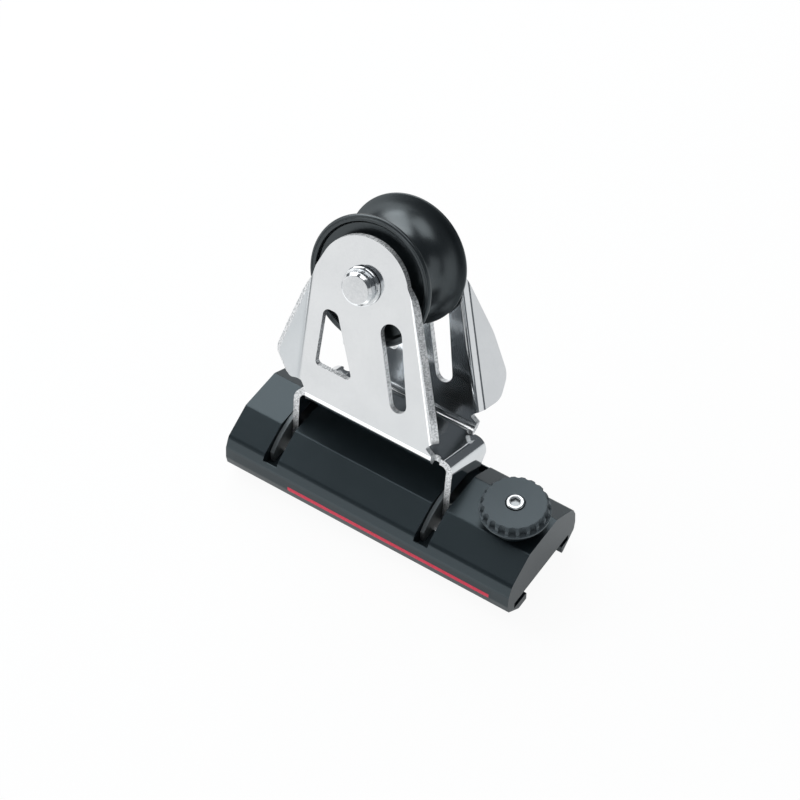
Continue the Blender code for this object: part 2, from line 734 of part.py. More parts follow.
def make_frame(axis):
    """The one-piece steel frame, folded from a flat blank: web, cheeks with wings, and legs."""
    frame = plate("saddle_frame", blank_loops(), 0.0, "XY")
    bm = bmesh.new()
    bm.from_mesh(frame.data)
    across = Vector((0.0, 1.0, 0.0))
    along = Vector((1.0, 0.0, 0.0))
    cheek_start = CHEEK_LINE + QUARTER
    for face in (-1.0, 1.0):
        score_lines(bm, across * face * CHEEK_LINE, across * face, QUARTER, lambda c: True)
        score_lines(bm, along * face * LEG_LINE, along * face, QUARTER, lambda c: abs(c.y) < CHEEK_LINE)
    for face in (-1.0, 1.0):
        for edge in (-1, 1):
            foot = edge_foot(edge)
            normal = edge_normal(edge)
            score_lines(
                bm,
                Vector((foot.x, face * cheek_flat(foot.y), 0.0)),
                Vector((normal.x, face * normal.y, 0.0)),
                BEND_MIDDLE * FLARE,
                lambda c, face=face: c.y * face > cheek_start,
            )
    for vert in bm.verts:
        vert.co = fold_point(vert.co.x, vert.co.y)
    bmesh.ops.dissolve_limit(bm, angle_limit=math.radians(0.1), verts=bm.verts, edges=bm.edges)
    bmesh.ops.recalc_face_normals(bm, faces=bm.faces)
    bm.to_mesh(frame.data)
    bm.free()
    solid = frame.modifiers.new("sheet", "SOLIDIFY")
    solid.thickness = SHEET
    solid.offset = 0.0
    solid.use_even_offset = True
    return finish(frame, STAINLESS, axis)


def sheave_profile():
    """Half section of the sheave, as a closed loop of (radius, height across)."""
    bore = RACE_RADIUS + 2.0 * ROLLER_RADIUS + 2.0 * GAP
    groove_radius = (GROOVE_HALF ** 2 + GROOVE_DEPTH ** 2) / (2.0 * GROOVE_DEPTH)
    shoulder = SHEAVE_RADIUS - RIM_STEP
    reach = math.asin(min(1.0, GROOVE_HALF / groove_radius))
    centre = (shoulder - GROOVE_DEPTH + groove_radius, 0.0)
    groove = arc(groove_radius, math.pi - reach, math.pi + reach, 11, centre)
    upper = [
        (bore, SHEAVE_HALF - 0.0004),
        (bore + 0.0004, SHEAVE_HALF),
        (DISH_INNER, SHEAVE_HALF),
        (DISH_INNER + 0.0008, SHEAVE_HALF - DISH_DEPTH),
        (DISH_OUTER - 0.0008, SHEAVE_HALF - DISH_DEPTH),
        (DISH_OUTER, SHEAVE_HALF),
        (SHEAVE_RADIUS - 0.0006, SHEAVE_HALF),
        (SHEAVE_RADIUS, SHEAVE_HALF - 0.0006),
        (SHEAVE_RADIUS - 0.0001, GROOVE_HALF + 0.0004),
    ]
    lower = [(r, -z) for r, z in reversed(upper)]
    return upper + groove + lower


def make_sheave(axis):
    """The grooved wheel."""
    finish(turned("sheave", sheave_profile(), 40, "Y", closed=True), GLOSS_ANODISED, axis)


def ring(name, inner, outer, low, high, surface, parent, along="Y", steps=20, chamfer=0.0002):
    """A flat ring or a plain sleeve."""
    profile = [
        (inner, high),
        (outer - chamfer, high),
        (outer, high - chamfer),
        (outer, low + chamfer),
        (outer - chamfer, low),
        (inner, low),
    ]
    return finish(turned(name, profile, steps, along, closed=True), surface, parent)


def make_bearing(axis):
    """Inner race, two rows of rollers in their cages, and the thrust washers."""
    race = CHEEK_INNER - GAP
    ring("inner_race", AXLE_RADIUS + GAP, RACE_RADIUS, -race, race, STAINLESS, axis)
    track = RACE_RADIUS + GAP + ROLLER_RADIUS
    for name, side in (("roller_row_near", -1.0), ("roller_row_far", 1.0)):
        inner_end = 0.0008
        outer_end = SHEAVE_HALF - 0.0008
        row = ring(name, RACE_RADIUS + GAP, track + ROLLER_RADIUS * 0.8, 0.0, 0.0010, DARK_PLASTIC, None)
        row.data.transform(Matrix.Translation((0.0, side * (inner_end + 0.0005) + 0.0005, 0.0)))
        for k in range(ROLLERS):
            angle = 2.0 * math.pi * k / ROLLERS
            place = (track * math.cos(angle), 0.0, track * math.sin(angle))
            ends = sorted((-side * inner_end * 1.5, -side * outer_end))
            bar = rod(name + "_bar_" + str(k), ROLLER_RADIUS - 0.00005, ends[0], ends[1], "Y", place, steps=8)
            combine(row, bar, "UNION")
        mesh = evaluated_mesh(row)
        row.modifiers.clear()
        row.data = mesh
        mesh.name = name
        tidy_mesh(mesh)
        finish(row, DARK_PLASTIC, axis)
    for name, side in (("thrust_washer_near", -1.0), ("thrust_washer_far", 1.0)):
        middle = side * (SHEAVE_HALF + CHEEK_INNER) / 2.0
        washer = ring(
            name, RACE_RADIUS + GAP, WASHER_OUTER,
            -middle - WASHER_THICKNESS / 2.0, -middle + WASHER_THICKNESS / 2.0, LINER_PLASTIC, axis,
        )
        washer.data.update()


def make_axle(axis):
    """The headed axle, its head on the near cheek, and the nut on the far cheek."""
    near = CHEEK_OUTER + GAP
    head = near + AXLE_HEAD_HEIGHT
    far = -(CHEEK_OUTER + GAP + AXLE_NUT_HEIGHT * 0.7)
    profile = [
        (0.0, head),
        (AXLE_HEAD_RADIUS - 0.0009, head),
        (AXLE_HEAD_RADIUS, head - 0.0009),
        (AXLE_HEAD_RADIUS, near + AXLE_COLLAR_HEIGHT + 0.0004),
        (AXLE_HEAD_RADIUS - 0.0004, near + AXLE_COLLAR_HEIGHT),
        (AXLE_COLLAR_RADIUS - 0.0003, near + AXLE_COLLAR_HEIGHT),
        (AXLE_COLLAR_RADIUS, near + AXLE_COLLAR_HEIGHT - 0.0003),
        (AXLE_COLLAR_RADIUS, near),
        (AXLE_RADIUS, near),
        (AXLE_RADIUS, far),
        (0.0, far),
    ]
    finish(turned("axle_pin", profile, 24, "Y"), STAINLESS, axis)
    low = -(CHEEK_OUTER + GAP + AXLE_NUT_HEIGHT)
    high = -(CHEEK_OUTER + GAP)
    nut = [
        (0.0, far - GAP),
        (AXLE_RADIUS + GAP, far - GAP),
        (AXLE_RADIUS + GAP, high),
        (AXLE_NUT_RADIUS, high),
        (AXLE_NUT_RADIUS, low + 0.0008),
        (AXLE_NUT_RADIUS - 0.0008, low),
        (0.0, low),
    ]
    finish(turned("axle_nut", nut, 24, "Y"), STAINLESS, axis)


def make_stop(lift, turn):
    """The spring stop: cap, pin, spring, knob and its screw."""
    top = TOP_HEIGHT
    cap = [
        (STOP_SHANK_RADIUS + GAP, top + CAP_HEIGHT),
        (CAP_RADIUS - 0.0008, top + CAP_HEIGHT),
        (CAP_RADIUS, top + CAP_HEIGHT - 0.0008),
        (CAP_RADIUS, top + GAP),
        (COUNTERBORE_RADIUS - GAP, top + GAP),
        (COUNTERBORE_RADIUS - GAP, top - CAP_SHANK_DROP),
        (STOP_SHANK_RADIUS + GAP, top - CAP_SHANK_DROP),
    ]
    centre = (STOP_X, 0.0, 0.0)
    finish(turned("stop_cap", cap, 24, "Z", centre, closed=True), BLACK_ANODISED)
    collar_top = top - STOP_COLLAR_DROP
    collar_low = collar_top - STOP_COLLAR_HEIGHT
    knob_low = top + KNOB_UNDER
    knob_top = knob_low + KNOB_HEIGHT
    web_low = knob_low + KNOB_HOLLOW_DEPTH
    seat = knob_top + SCREW_PROUD - SCREW_HEAD - GAP
    pin_top = seat - GAP
    thread = pin_top - 0.0075
    pin = [
        (0.0, thread - GAP),
        (SCREW_SHANK + GAP, thread - GAP),
        (SCREW_SHANK + GAP, pin_top),
        (STOP_SHANK_RADIUS, pin_top),
        (STOP_SHANK_RADIUS, collar_top),
        (STOP_COLLAR_RADIUS, collar_top),
        (STOP_COLLAR_RADIUS, collar_low),
        (STOP_RADIUS, collar_low),
        (STOP_RADIUS, -STOP_REACH + 0.0008),
        (STOP_RADIUS - 0.0008, -STOP_REACH),
        (0.0, -STOP_REACH),
    ]
    finish(turned("stop_pin", pin, 24, "Z"), STAINLESS, lift)
    knob = [
        (SCREW_RADIUS + GAP, knob_top - 0.0001),
        (KNOB_FACE_RADIUS, knob_top),
        (KNOB_FACE_RADIUS + 0.0009, knob_top - 0.0005),
        (KNOB_GRIP_RADIUS, knob_top - 0.0016),
        (KNOB_GRIP_RADIUS, knob_low + KNOB_FLANGE + 0.0003),
        (KNOB_RADIUS, knob_low + KNOB_FLANGE),
        (KNOB_RADIUS, knob_low),
        (KNOB_HOLLOW_RADIUS, knob_low),
        (KNOB_HOLLOW_RADIUS, web_low),
        (STOP_SHANK_RADIUS + GAP, web_low),
        (STOP_SHANK_RADIUS + GAP, seat),
        (SCREW_RADIUS + GAP, seat),
    ]
    body = turned("stop_knob", knob, 48, "Z", closed=True)
    for k in range(SCALLOPS):
        angle = 2.0 * math.pi * (k + 0.5) / SCALLOPS
        way = KNOB_GRIP_RADIUS
        place = (way * math.cos(angle), way * math.sin(angle), 0.0)
        low = knob_low + KNOB_FLANGE
        cutter = rod("scallop_" + str(k), SCALLOP_RADIUS, low, knob_top + 0.002, "Z", place, steps=6)
        combine(body, cutter, "DIFFERENCE")
    mesh = evaluated_mesh(body)
    body.modifiers.clear()
    body.data = mesh
    mesh.name = "stop_knob"
    tidy_mesh(mesh)
    finish(body, DARK_PLASTIC, turn)
    head_low = knob_top + SCREW_PROUD - SCREW_HEAD
    socket = [
        (0.0, head_low + 0.0006),
        (SOCKET_RADIUS - 0.0004, head_low + 0.0006),
        (SOCKET_RADIUS, head_low + SCREW_HEAD),
        (SCREW_RADIUS - 0.0004, head_low + SCREW_HEAD),
        (SCREW_RADIUS, head_low + SCREW_HEAD - 0.0004),
        (SCREW_RADIUS, head_low),
        (SCREW_SHANK, head_low),
        (SCREW_SHANK, thread),
        (0.0, thread),
    ]
    finish(turned("knob_screw", socket, 24, "Z"), STAINLESS, turn)


def make_spring():
    """Coil spring between the pin's collar and the cap."""
    low = TOP_HEIGHT - STOP_COLLAR_DROP + GAP + SPRING_WIRE
    high = TOP_HEIGHT - CAP_SHANK_DROP - GAP - SPRING_WIRE
    steps = 12
    count = int(SPRING_COILS * steps)
    curve = bpy.data.curves.new("stop_spring_line", "CURVE")
    curve.dimensions = "3D"
    curve.bevel_depth = SPRING_WIRE
    curve.bevel_resolution = 1
    curve.use_fill_caps = True
    spline = curve.splines.new("POLY")
    spline.points.add(count)
    for k, point in enumerate(spline.points):
        angle = 2.0 * math.pi * k / steps
        height = low + (high - low) * k / count
        point.co = (SPRING_RADIUS * math.cos(angle), SPRING_RADIUS * math.sin(angle), height, 1.0)
    guide = add_object("stop_spring_line", curve, CUTTERS)
    mesh = evaluated_mesh(guide)
    bpy.data.objects.remove(guide, do_unlink=True)
    tidy_mesh(mesh, 1e-5)
    mesh.transform(Matrix.Translation((STOP_X, 0.0, 0.0)))
    mesh.name = "stop_spring"
    finish(add_object("stop_spring", mesh), SPRING_STEEL)


def main():
    """Builds every piece."""
    make_body()
    make_label()
    make_guides()
    make_liners()
    make_rod()
    tilt = add_empty("frame_pivot_axis", (0.0, 0.0, PIVOT_Z), (-LEAN, 0.0, 0.0))
    make_frame(tilt)
    axle = add_empty("sheave_axis", (PIN_X, 0.0, PIN_HEIGHT), parent=tilt)
    make_sheave(axle)
    make_bearing(axle)
    make_axle(axle)
    lift = add_empty("stop_axis", (STOP_X, 0.0, 0.0))
    turn = add_empty("knob_axis", (0.0, 0.0, 0.0), parent=lift)
    make_stop(lift, turn)
    make_spring()


main()
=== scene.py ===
"""Looks of a sailboat track car: black slider body, folded steel frame, grooved sheave and spring stop.

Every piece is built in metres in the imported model's own frame, with X along the track and Z up.
"""
import logging
import math
from dataclasses import dataclass
from enum import Enum
from typing import Callable, Optional, Sequence, Union

import bmesh
import bpy
from bpy.types import Material, Mesh, Node, NodeSocket, NodeTree, Object
from mathutils import Matrix, Vector


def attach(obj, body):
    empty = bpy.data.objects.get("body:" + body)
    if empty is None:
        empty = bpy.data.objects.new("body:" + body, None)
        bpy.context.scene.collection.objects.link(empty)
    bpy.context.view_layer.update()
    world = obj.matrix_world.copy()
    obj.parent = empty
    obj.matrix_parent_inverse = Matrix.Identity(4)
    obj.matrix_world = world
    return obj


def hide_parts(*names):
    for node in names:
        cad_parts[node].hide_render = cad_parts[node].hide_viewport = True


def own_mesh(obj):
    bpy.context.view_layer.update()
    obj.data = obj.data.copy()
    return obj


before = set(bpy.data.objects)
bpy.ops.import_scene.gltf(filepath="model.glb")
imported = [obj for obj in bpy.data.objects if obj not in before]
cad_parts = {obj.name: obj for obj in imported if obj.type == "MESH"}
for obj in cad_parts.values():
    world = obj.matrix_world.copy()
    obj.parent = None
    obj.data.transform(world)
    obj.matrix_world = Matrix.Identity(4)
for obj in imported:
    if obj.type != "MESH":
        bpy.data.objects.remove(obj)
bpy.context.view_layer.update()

LOG = logging.getLogger("track_car")

Point = tuple[float, float]
Corner = tuple[float, float, float]
Value = Union["Expr", Material, float, int, Sequence[float]]
Settings = Optional[dict[str, object]]
Inputs = Optional[dict[Union[str, int], Value]]

GAP = 0.0003
SHEET = 0.0025
PIVOT_Z = 0.0084
PIVOT_BORE = 0.0033
LEAN = math.radians(23.0)
PIN_X = -0.0156
PIN_HEIGHT = 0.0787
CHEEK_OUTER = 0.0179
HEAD_RADIUS = 0.01863
LEG_OUTER = 0.0346
TOP = 0.0194
STOP_X = 0.0593
HERE = Matrix.Identity(4)
LEANING = Matrix.Translation((0.0, 0.0, PIVOT_Z)) @ Matrix.Rotation(-LEAN, 4, "X")
AXLE = LEANING @ Matrix.Translation((PIN_X, 0.0, PIN_HEIGHT))
STOP = Matrix.Translation((STOP_X, 0.0, 0.0))
WHITE = (1.0, 1.0, 1.0, 1.0)
COOL = (0.73, 0.91, 1.0, 1.0)


class Body(Enum):
    """The rigid bodies that pieces ride on."""

    CAR = "car"
    FRAME = "frame"
    WHEEL = "wheel"
    ROLLERS = "rollers"
    KNOB = "knob"


class Slot(Enum):
    """The record's material slots."""

    BLACK = "satin_black_anodised"
    GLOSS = "gloss_black_anodised"
    STEEL = "polished_stainless"
    PLASTIC = "dark_grey_plastic"
    LINER = "liner_plastic"
    LABEL = "label_film"
    SPRING = "spring_steel"


class Plane(Enum):
    """Which way a flat outline faces, as the turn out of its own plane."""

    XY = ((1, 0, 0, 0), (0, 1, 0, 0), (0, 0, 1, 0), (0, 0, 0, 1))
    YZ = ((0, 0, 1, 0), (1, 0, 0, 0), (0, 1, 0, 0), (0, 0, 0, 1))
    XZ = ((1, 0, 0, 0), (0, 0, -1, 0), (0, 1, 0, 0), (0, 0, 0, 1))


class Expr:
    """A node's output that takes part in Python arithmetic."""

    def __init__(self, tree: "Tree", socket: NodeSocket) -> None:
        """Wraps an output socket of a tree."""
        self.tree = tree
        self.socket = socket

    def maths(self, operation: str, *others: Value, clamp: bool = False) -> "Expr":
        """A Math node with this value first.

        Args:
            operation: The node's operation.
            others: The other inputs.
            clamp: Whether the result stays between 0 and 1.

        Returns:
            The result.
        """
        settings = {"operation": operation, "use_clamp": clamp}
        return self.tree.node("ShaderNodeMath", settings, dict(enumerate((self, *others))))

    def __add__(self, other: Value) -> "Expr":
        """This plus other."""
        return self.maths("ADD", other)

    def __sub__(self, other: Value) -> "Expr":
        """This minus other."""
        return self.maths("SUBTRACT", other)

    def __rsub__(self, other: float) -> "Expr":
        """Other minus this."""
        return (self * -1.0) + other

    def __mul__(self, other: Value) -> "Expr":
        """This times other."""
        return self.maths("MULTIPLY", other)

    def __truediv__(self, other: Value) -> "Expr":
        """This over other."""
        return self.maths("DIVIDE", other)

    def __pow__(self, other: Value) -> "Expr":
        """This to the power of other."""
        return self.maths("POWER", other)

    __radd__ = __add__
    __rmul__ = __mul__

    def between(self, low: float, high: float, soft: float) -> "Expr":
        """A band mask with soft ends.

        Args:
            low: Where the band starts.
            high: Where it ends.
            soft: Width of each soft end.

        Returns:
            1 inside the band and 0 outside.
        """
        rise, fall = (((self - end) / soft).maths("ADD", 0.5, clamp=True) for end in (low, high))
        return rise * (1.0 - fall)

    def part(self, index: int) -> "Expr":
        """One of the three numbers of a vector (0 for X)."""
        return self.tree.node("ShaderNodeSeparateXYZ", {}, {0: self}, index)


class Tree:
    """Builds nodes in one node tree."""

    def __init__(self, nodes: NodeTree) -> None:
        """Takes the tree that the nodes go into."""
        self.tree = nodes

    def link(self, value: Expr, socket: NodeSocket) -> None:
        """Links a value into a socket."""
        self.tree.links.new(value.socket, socket)

    def add(self, kind: str, settings: Settings = None, inputs: Inputs = None) -> Node:
        """Adds one node.

        Args:
            kind: The node's type.
            settings: Its properties, set first; "ramp" holds a colour ramp's grey stops.
            inputs: Values or links of its sockets, by name or number.

        Returns:
            The node.
        """
        node = self.tree.nodes.new(kind)
        for name, value in (settings or {}).items():
            if name == "ramp":
                self.stops(node, value)
            else:
                setattr(node, name, value)
        for name, value in (inputs or {}).items():
            if isinstance(value, Expr):
                self.link(value, node.inputs[name])
            else:
                node.inputs[name].default_value = value
        return node

    def node(
        self, kind: str, settings: Settings = None, inputs: Inputs = None, out: Union[str, int] = 0,
    ) -> Expr:
        """Adds one node, as add does, and gives its output of that name or number."""
        return Expr(self, self.add(kind, settings, inputs).outputs[out])

    @staticmethod
    def stops(node: Node, stops: Sequence[Point]) -> None:
        """Sets a colour ramp's stops.

        Args:
            node: The ramp.
            stops: The place and the grey of each stop.
        """
        elements = node.color_ramp.elements
        elements.remove(elements[1])
        for i, (place, grey) in enumerate(stops):
            element = elements[0] if i == 0 else elements.new(place)
            element.position = place
            element.color = (grey, grey, grey, 1.0)


class Surface(Tree):
    """A material under construction."""

    def __init__(self, name: str) -> None:
        """Starts a named material with one Principled shader."""
        self.material = bpy.data.materials.new(name)
        self.material.use_nodes = True
        super().__init__(self.material.node_tree)
        self.shader = self.tree.nodes["Principled BSDF"]
        self.place = self.node("ShaderNodeTexCoord", out="Object")

    def constants(self, **values: Value) -> None:
        """Sets sockets of the shader, with spaces written as underscores."""
        for name, value in values.items():
            self.shader.inputs[name.replace("_", " ")].default_value = value

    def mapped(self, matrix: Matrix, scale: Corner = (1.0, 1.0, 1.0)) -> Expr:
        """Object coordinates taken into a piece's own axes.

        Args:
            matrix: Where those axes lie.
            scale: Stretch along each of them.

        Returns:
            The coordinates.
        """
        inverse = matrix.inverted()
        move = tuple(inverse.to_translation())
        turn = tuple(inverse.to_euler())
        settings = {"vector_type": "POINT"}
        inputs = {"Vector": self.place, "Location": move, "Rotation": turn}
        turned = self.node("ShaderNodeMapping", settings, inputs)
        return self.node("ShaderNodeVectorMath", {"operation": "MULTIPLY"}, {0: turned, 1: scale})

    def noise(
        self, where: Expr, scale: float, detail: float = 3.0, rough: float = 0.5, kind: str = "3D",
    ) -> Expr:
        """Noise of about 1/scale metres."""
        inputs = {"Vector": where, "Scale": scale, "Detail": detail, "Roughness": rough}
        return self.node("ShaderNodeTexNoise", {"noise_dimensions": kind}, inputs, "Fac")

    def mix(self, share: Expr, low: Union[Expr, Corner], high: Union[Expr, Corner]) -> Expr:
        """A colour between two.

        Args:
            share: 0 for the first colour and 1 for the second.
            low: The first colour.
            high: The second colour.

        Returns:
            The mixed colour.
        """
        first, second = (c if isinstance(c, Expr) else (*c, 1.0) for c in (low, high))
        return self.node("ShaderNodeMix", {"data_type": "RGBA"}, {0: share, 6: first, 7: second}, 2)

    def finish(
        self, colour: Expr, roughness: Expr, relief: Expr, depth: float, **values: Value,
    ) -> Material:
        """Links what varies over the surface and sets the rest.

        Args:
            colour: The base colour.
            roughness: The roughness.
            relief: Height of the surface, from 0 to about 1.
            depth: What a height of 1 stands for, in metres.
            values: The other sockets, as constants takes them.

        Returns:
            The material.
        """
        self.constants(**values)
        normal = self.node("ShaderNodeBump", {}, {"Height": relief, "Distance": depth}, "Normal")
        for name, value in (("Base Color", colour), ("Roughness", roughness), ("Normal", normal)):
            self.link(value, self.shader.inputs[name])
        return self.material


@dataclass(frozen=True)
class Anodised:
    """Satin black anodised aluminium."""

    name: str
    colour: Corner = (0.0050, 0.0082, 0.0103)
    lighter: Corner = (0.0092, 0.0135, 0.0163)
    roughness: float = 0.34
    grain_depth: float = 0.0000045
    drawn: float = 0.25

    def build(self) -> Material:
        """Fine blasted grain and faint drawn lines along the extrusion.

        Returns:
            The material.
        """
        made = Surface(self.name)
        lines = made.noise(made.mapped(HERE, (14.0, 900.0, 900.0)), 1.0, 2.0)
        grain = made.noise(made.place, 3800.0, 2.0)
        cloud = made.noise(made.place, 55.0)
        return made.finish(
            made.mix(cloud, self.colour, self.lighter),
            cloud * 0.05 + grain * 0.05 + lines * 0.04 + (self.roughness - 0.07),
            grain + lines * self.drawn, self.grain_depth, Specular_IOR_Level=0.60, Specular_Tint=COOL,
        )


@dataclass(frozen=True)
class TurnedBlack:
    """Glossy hard-anodised surface with fine turning rings round its own Y axis."""

    name: str
    axis: Matrix
    colour: Corner = (0.0030, 0.0042, 0.0050)
    lighter: Corner = (0.0055, 0.0072, 0.0085)
    roughness: float = 0.29
    rings_per_metre: float = 2600.0
    ring_depth: float = 0.0000012

    def build(self) -> Material:
        """Turning rings centred on the axis.

        Returns:
            The material.
        """
        made = Surface(self.name)
        own = made.mapped(self.axis)
        x, along, z = (own.part(i) for i in range(3))
        radius = (x * x + z * z) ** 0.5
        spread = {0: radius * self.rings_per_metre, 1: along * self.rings_per_metre}
        rings = made.noise(made.node("ShaderNodeCombineXYZ", {}, spread), 1.0, 2.0, kind="2D")
        cloud = made.noise(made.place, 120.0)
        return made.finish(
            made.mix(cloud, self.colour, self.lighter),
            rings * 0.06 + cloud * 0.05 + (self.roughness - 0.05),
            rings, self.ring_depth, Specular_IOR_Level=1.0, Specular_Tint=(0.84, 0.95, 1.0, 1.0),
        )


@dataclass(frozen=True)
class PolishedSteel:
    """Polished stainless sheet, bar or wire with faint brushing and a slightly wavy mirror."""

    name: str
    axis: Matrix
    colour: Corner = (0.790, 0.805, 0.815)
    darker: Corner = (0.620, 0.640, 0.655)
    roughness: float = 0.10
    brush: Corner = (70.0, 70.0, 70.0)
    speckle: float = 0.2
    wave_depth: float = 0.00001

    def build(self) -> Material:
        """A mirror brushed along its own axes.

        Returns:
            The material.
        """
        made = Surface(self.name)
        strokes = made.noise(made.mapped(self.axis, self.brush), 1.0)
        waves = made.noise(made.place, 42.0, 1.0)
        fine = made.noise(made.place, 900.0, 2.0)
        return made.finish(
            made.mix(strokes * 0.6 + fine * self.speckle, self.colour, self.darker),
            strokes * 0.06 + fine * 0.02 + (self.roughness - 0.04),
            waves + strokes * 0.010 + fine * 0.002, self.wave_depth, Metallic=1.0,
        )


@dataclass(frozen=True)
class ShearedEdge:
    """Cut edge of the steel sheet, with bright sheared and dark torn spots."""

    name: str
    colour: Corner = (0.86, 0.87, 0.88)
    torn: Corner = (0.44, 0.46, 0.47)
    tears: Corner = (1900.0, 700.0, 1900.0)
    depth: float = 0.00003

    def build(self) -> Material:
        """Torn spots on a bright cut edge.

        Returns:
            The material.
        """
        made = Surface(self.name)
        tears = made.noise(made.mapped(LEANING, self.tears), 1.0, 3.0, 0.6)
        pits = made.node("ShaderNodeTexVoronoi", {}, {"Vector": made.place, "Scale": 1500.0}, "Distance")
        mask = made.node("ShaderNodeValToRGB", {"ramp": ((0.38, 0.0), (0.58, 1.0))}, {"Fac": tears})
        return made.finish(
            made.mix(mask, self.torn, self.colour), tears * 0.20 + 0.42, tears + pits * 0.35, self.depth,
            Metallic=1.0,
        )


@dataclass(frozen=True)
class Moulded:
    """Matte moulded plastic with a fine spark-eroded grain."""

    name: str
    colour: Corner = (0.055, 0.066, 0.073)
    lighter: Corner = (0.068, 0.080, 0.088)
    roughness: float = 0.46
    grain_depth: float = 0.000006

    def build(self) -> Material:
        """An even grain.

        Returns:
            The material.
        """
        made = Surface(self.name)
        grain = made.noise(made.place, 3000.0, 2.0)
        cloud = made.noise(made.place, 70.0)
        return made.finish(
            made.mix(cloud, self.colour, self.lighter),
            grain * 0.10 + cloud * 0.06 + (self.roughness - 0.08),
            grain, self.grain_depth, Specular_IOR_Level=0.45, Specular_Tint=COOL,
        )


@dataclass(frozen=True)
class StripedFilm:
    """Label film in the body's black with one red line; the words beside the line are left off."""

    name: str
    line_low: float = 0.0026
    line_high: float = 0.0045
    line_left: float = -0.0250
    line_right: float = 0.0634
    border: float = 0.0005
    soft: float = 0.00012
    soft_end: float = 0.0003
    red: Corner = (0.80, 0.004, 0.050)
    lighter_red: Corner = (0.88, 0.008, 0.066)
    ground: Corner = (0.0105, 0.0150, 0.0178)
    rim: Corner = (0.0030, 0.0035, 0.0040)

    def build(self) -> Material:
        """A line placed by height and length.

        Returns:
            The material.
        """
        made = Surface(self.name)
        height = made.place.part(2)
        line = height.between(self.line_low, self.line_high, self.soft)
        border = height.between(self.line_low - self.border, self.line_high + self.border, self.soft)
        run = made.place.part(0).between(self.line_left, self.line_right, self.soft_end)
        fine = made.noise(made.place, 1600.0, 2.0)
        red = made.mix(fine, self.red, self.lighter_red)
        ground = made.mix(border * run, self.ground, self.rim)
        return made.finish(
            made.mix(line * run, ground, red), fine * 0.08 + 0.31, fine, 0.000002,
            Specular_IOR_Level=0.50, Specular_Tint=COOL,
        )


def evaluated(obj: Object) -> Mesh:
    """Makes a mesh of an object with everything on it applied.

    Args:
        obj: A mesh or curve object.

    Returns:
        The new mesh.
    """
    bpy.context.view_layer.update()
    graph = bpy.context.evaluated_depsgraph_get()
    return bpy.data.meshes.new_from_object(obj.evaluated_get(graph))


def applied(obj: Object) -> Object:
    """Applies an object's modifiers.

    Args:
        obj: The object.

    Returns:
        The same object.
    """
    mesh = evaluated(obj)
    obj.modifiers.clear()
    obj.data = mesh
    return obj


def joined(mesh: Mesh, distance: float = 1e-6) -> Mesh:
    """Merges doubled points and turns the faces out.

    Args:
        mesh: The mesh to change.
        distance: How near points have to be to merge.

    Returns:
        The same mesh.
    """
    bm = bmesh.new()
    bm.from_mesh(mesh)
    bmesh.ops.remove_doubles(bm, verts=bm.verts, dist=distance)
    bmesh.ops.dissolve_degenerate(bm, edges=bm.edges, dist=1e-7)
    bmesh.ops.recalc_face_normals(bm, faces=bm.faces)
    bm.to_mesh(mesh)
    bm.free()
    return mesh


def linked(name: str, data: Union[Mesh, bpy.types.ID]) -> Object:
    """Puts a mesh, curve, lamp or camera into the scene.

    Args:
        name: The object's name.
        data: What it holds.

    Returns:
        The new object.
    """
    obj = bpy.data.objects.new(name, data)
    bpy.context.scene.collection.objects.link(obj)
    return obj


def taken(guide: Object) -> Mesh:
    """Removes a guide object and keeps its evaluated mesh.

    Args:
        guide: The object.

    Returns:
        The mesh.
    """
    mesh = evaluated(guide)
    bpy.data.objects.remove(guide, do_unlink=True)
    return mesh


def filleted(corners: Sequence[Corner], step: float = math.radians(3.0)) -> list[Point]:
    """Rounds the corners of a closed outline.

    Args:
        corners: Points with the radius of each.
        step: Largest turn between two points of a rounded corner.

    Returns:
        The outline's points.
    """
    points: list[Point] = []
    for i, (a, b, radius) in enumerate(corners):
        if radius <= 0.0:
            points.append((a, b))
            continue
        here = Vector((a, b))
        before = (Vector(corners[i - 1][:2]) - here).normalized()
        after = (Vector(corners[(i + 1) % len(corners)][:2]) - here).normalized()
        half = math.acos(max(-1.0, min(1.0, before.dot(after)))) / 2.0
        middle = here + (before + after).normalized() * (radius / math.sin(half))
        start = here + before * (radius / math.tan(half)) - middle
        turn = math.pi - 2.0 * half
        side = 1.0 if before.cross(after) < 0.0 else -1.0
        count = max(2, math.ceil(turn / step))
        for k in range(count + 1):
            angle = side * turn * k / count
            points.append((
                middle.x + start.x * math.cos(angle) - start.y * math.sin(angle),
                middle.y + start.x * math.sin(angle) + start.y * math.cos(angle),
            ))
    return points


def arc(radius: float, first: float, last: float, steps: int, centre: Point = (0.0, 0.0)) -> list[Point]:
    """Points of an arc.

    Args:
        radius: Its radius.
        first: Angle of its first point.
        last: Angle of its last point.
        steps: Number of stretches.
        centre: Its centre.

    Returns:
        The points.
    """
    angles = [first + (last - first) * k / steps for k in range(steps + 1)]
    return [(centre[0] + radius * math.cos(a), centre[1] + radius * math.sin(a)) for a in angles]


def circle(radius: float, centre: Point = (0.0, 0.0), steps: int = 48) -> list[Point]:
    """Points of a full circle."""
    return arc(radius, 0.0, 2.0 * math.pi, steps, centre)[:-1]


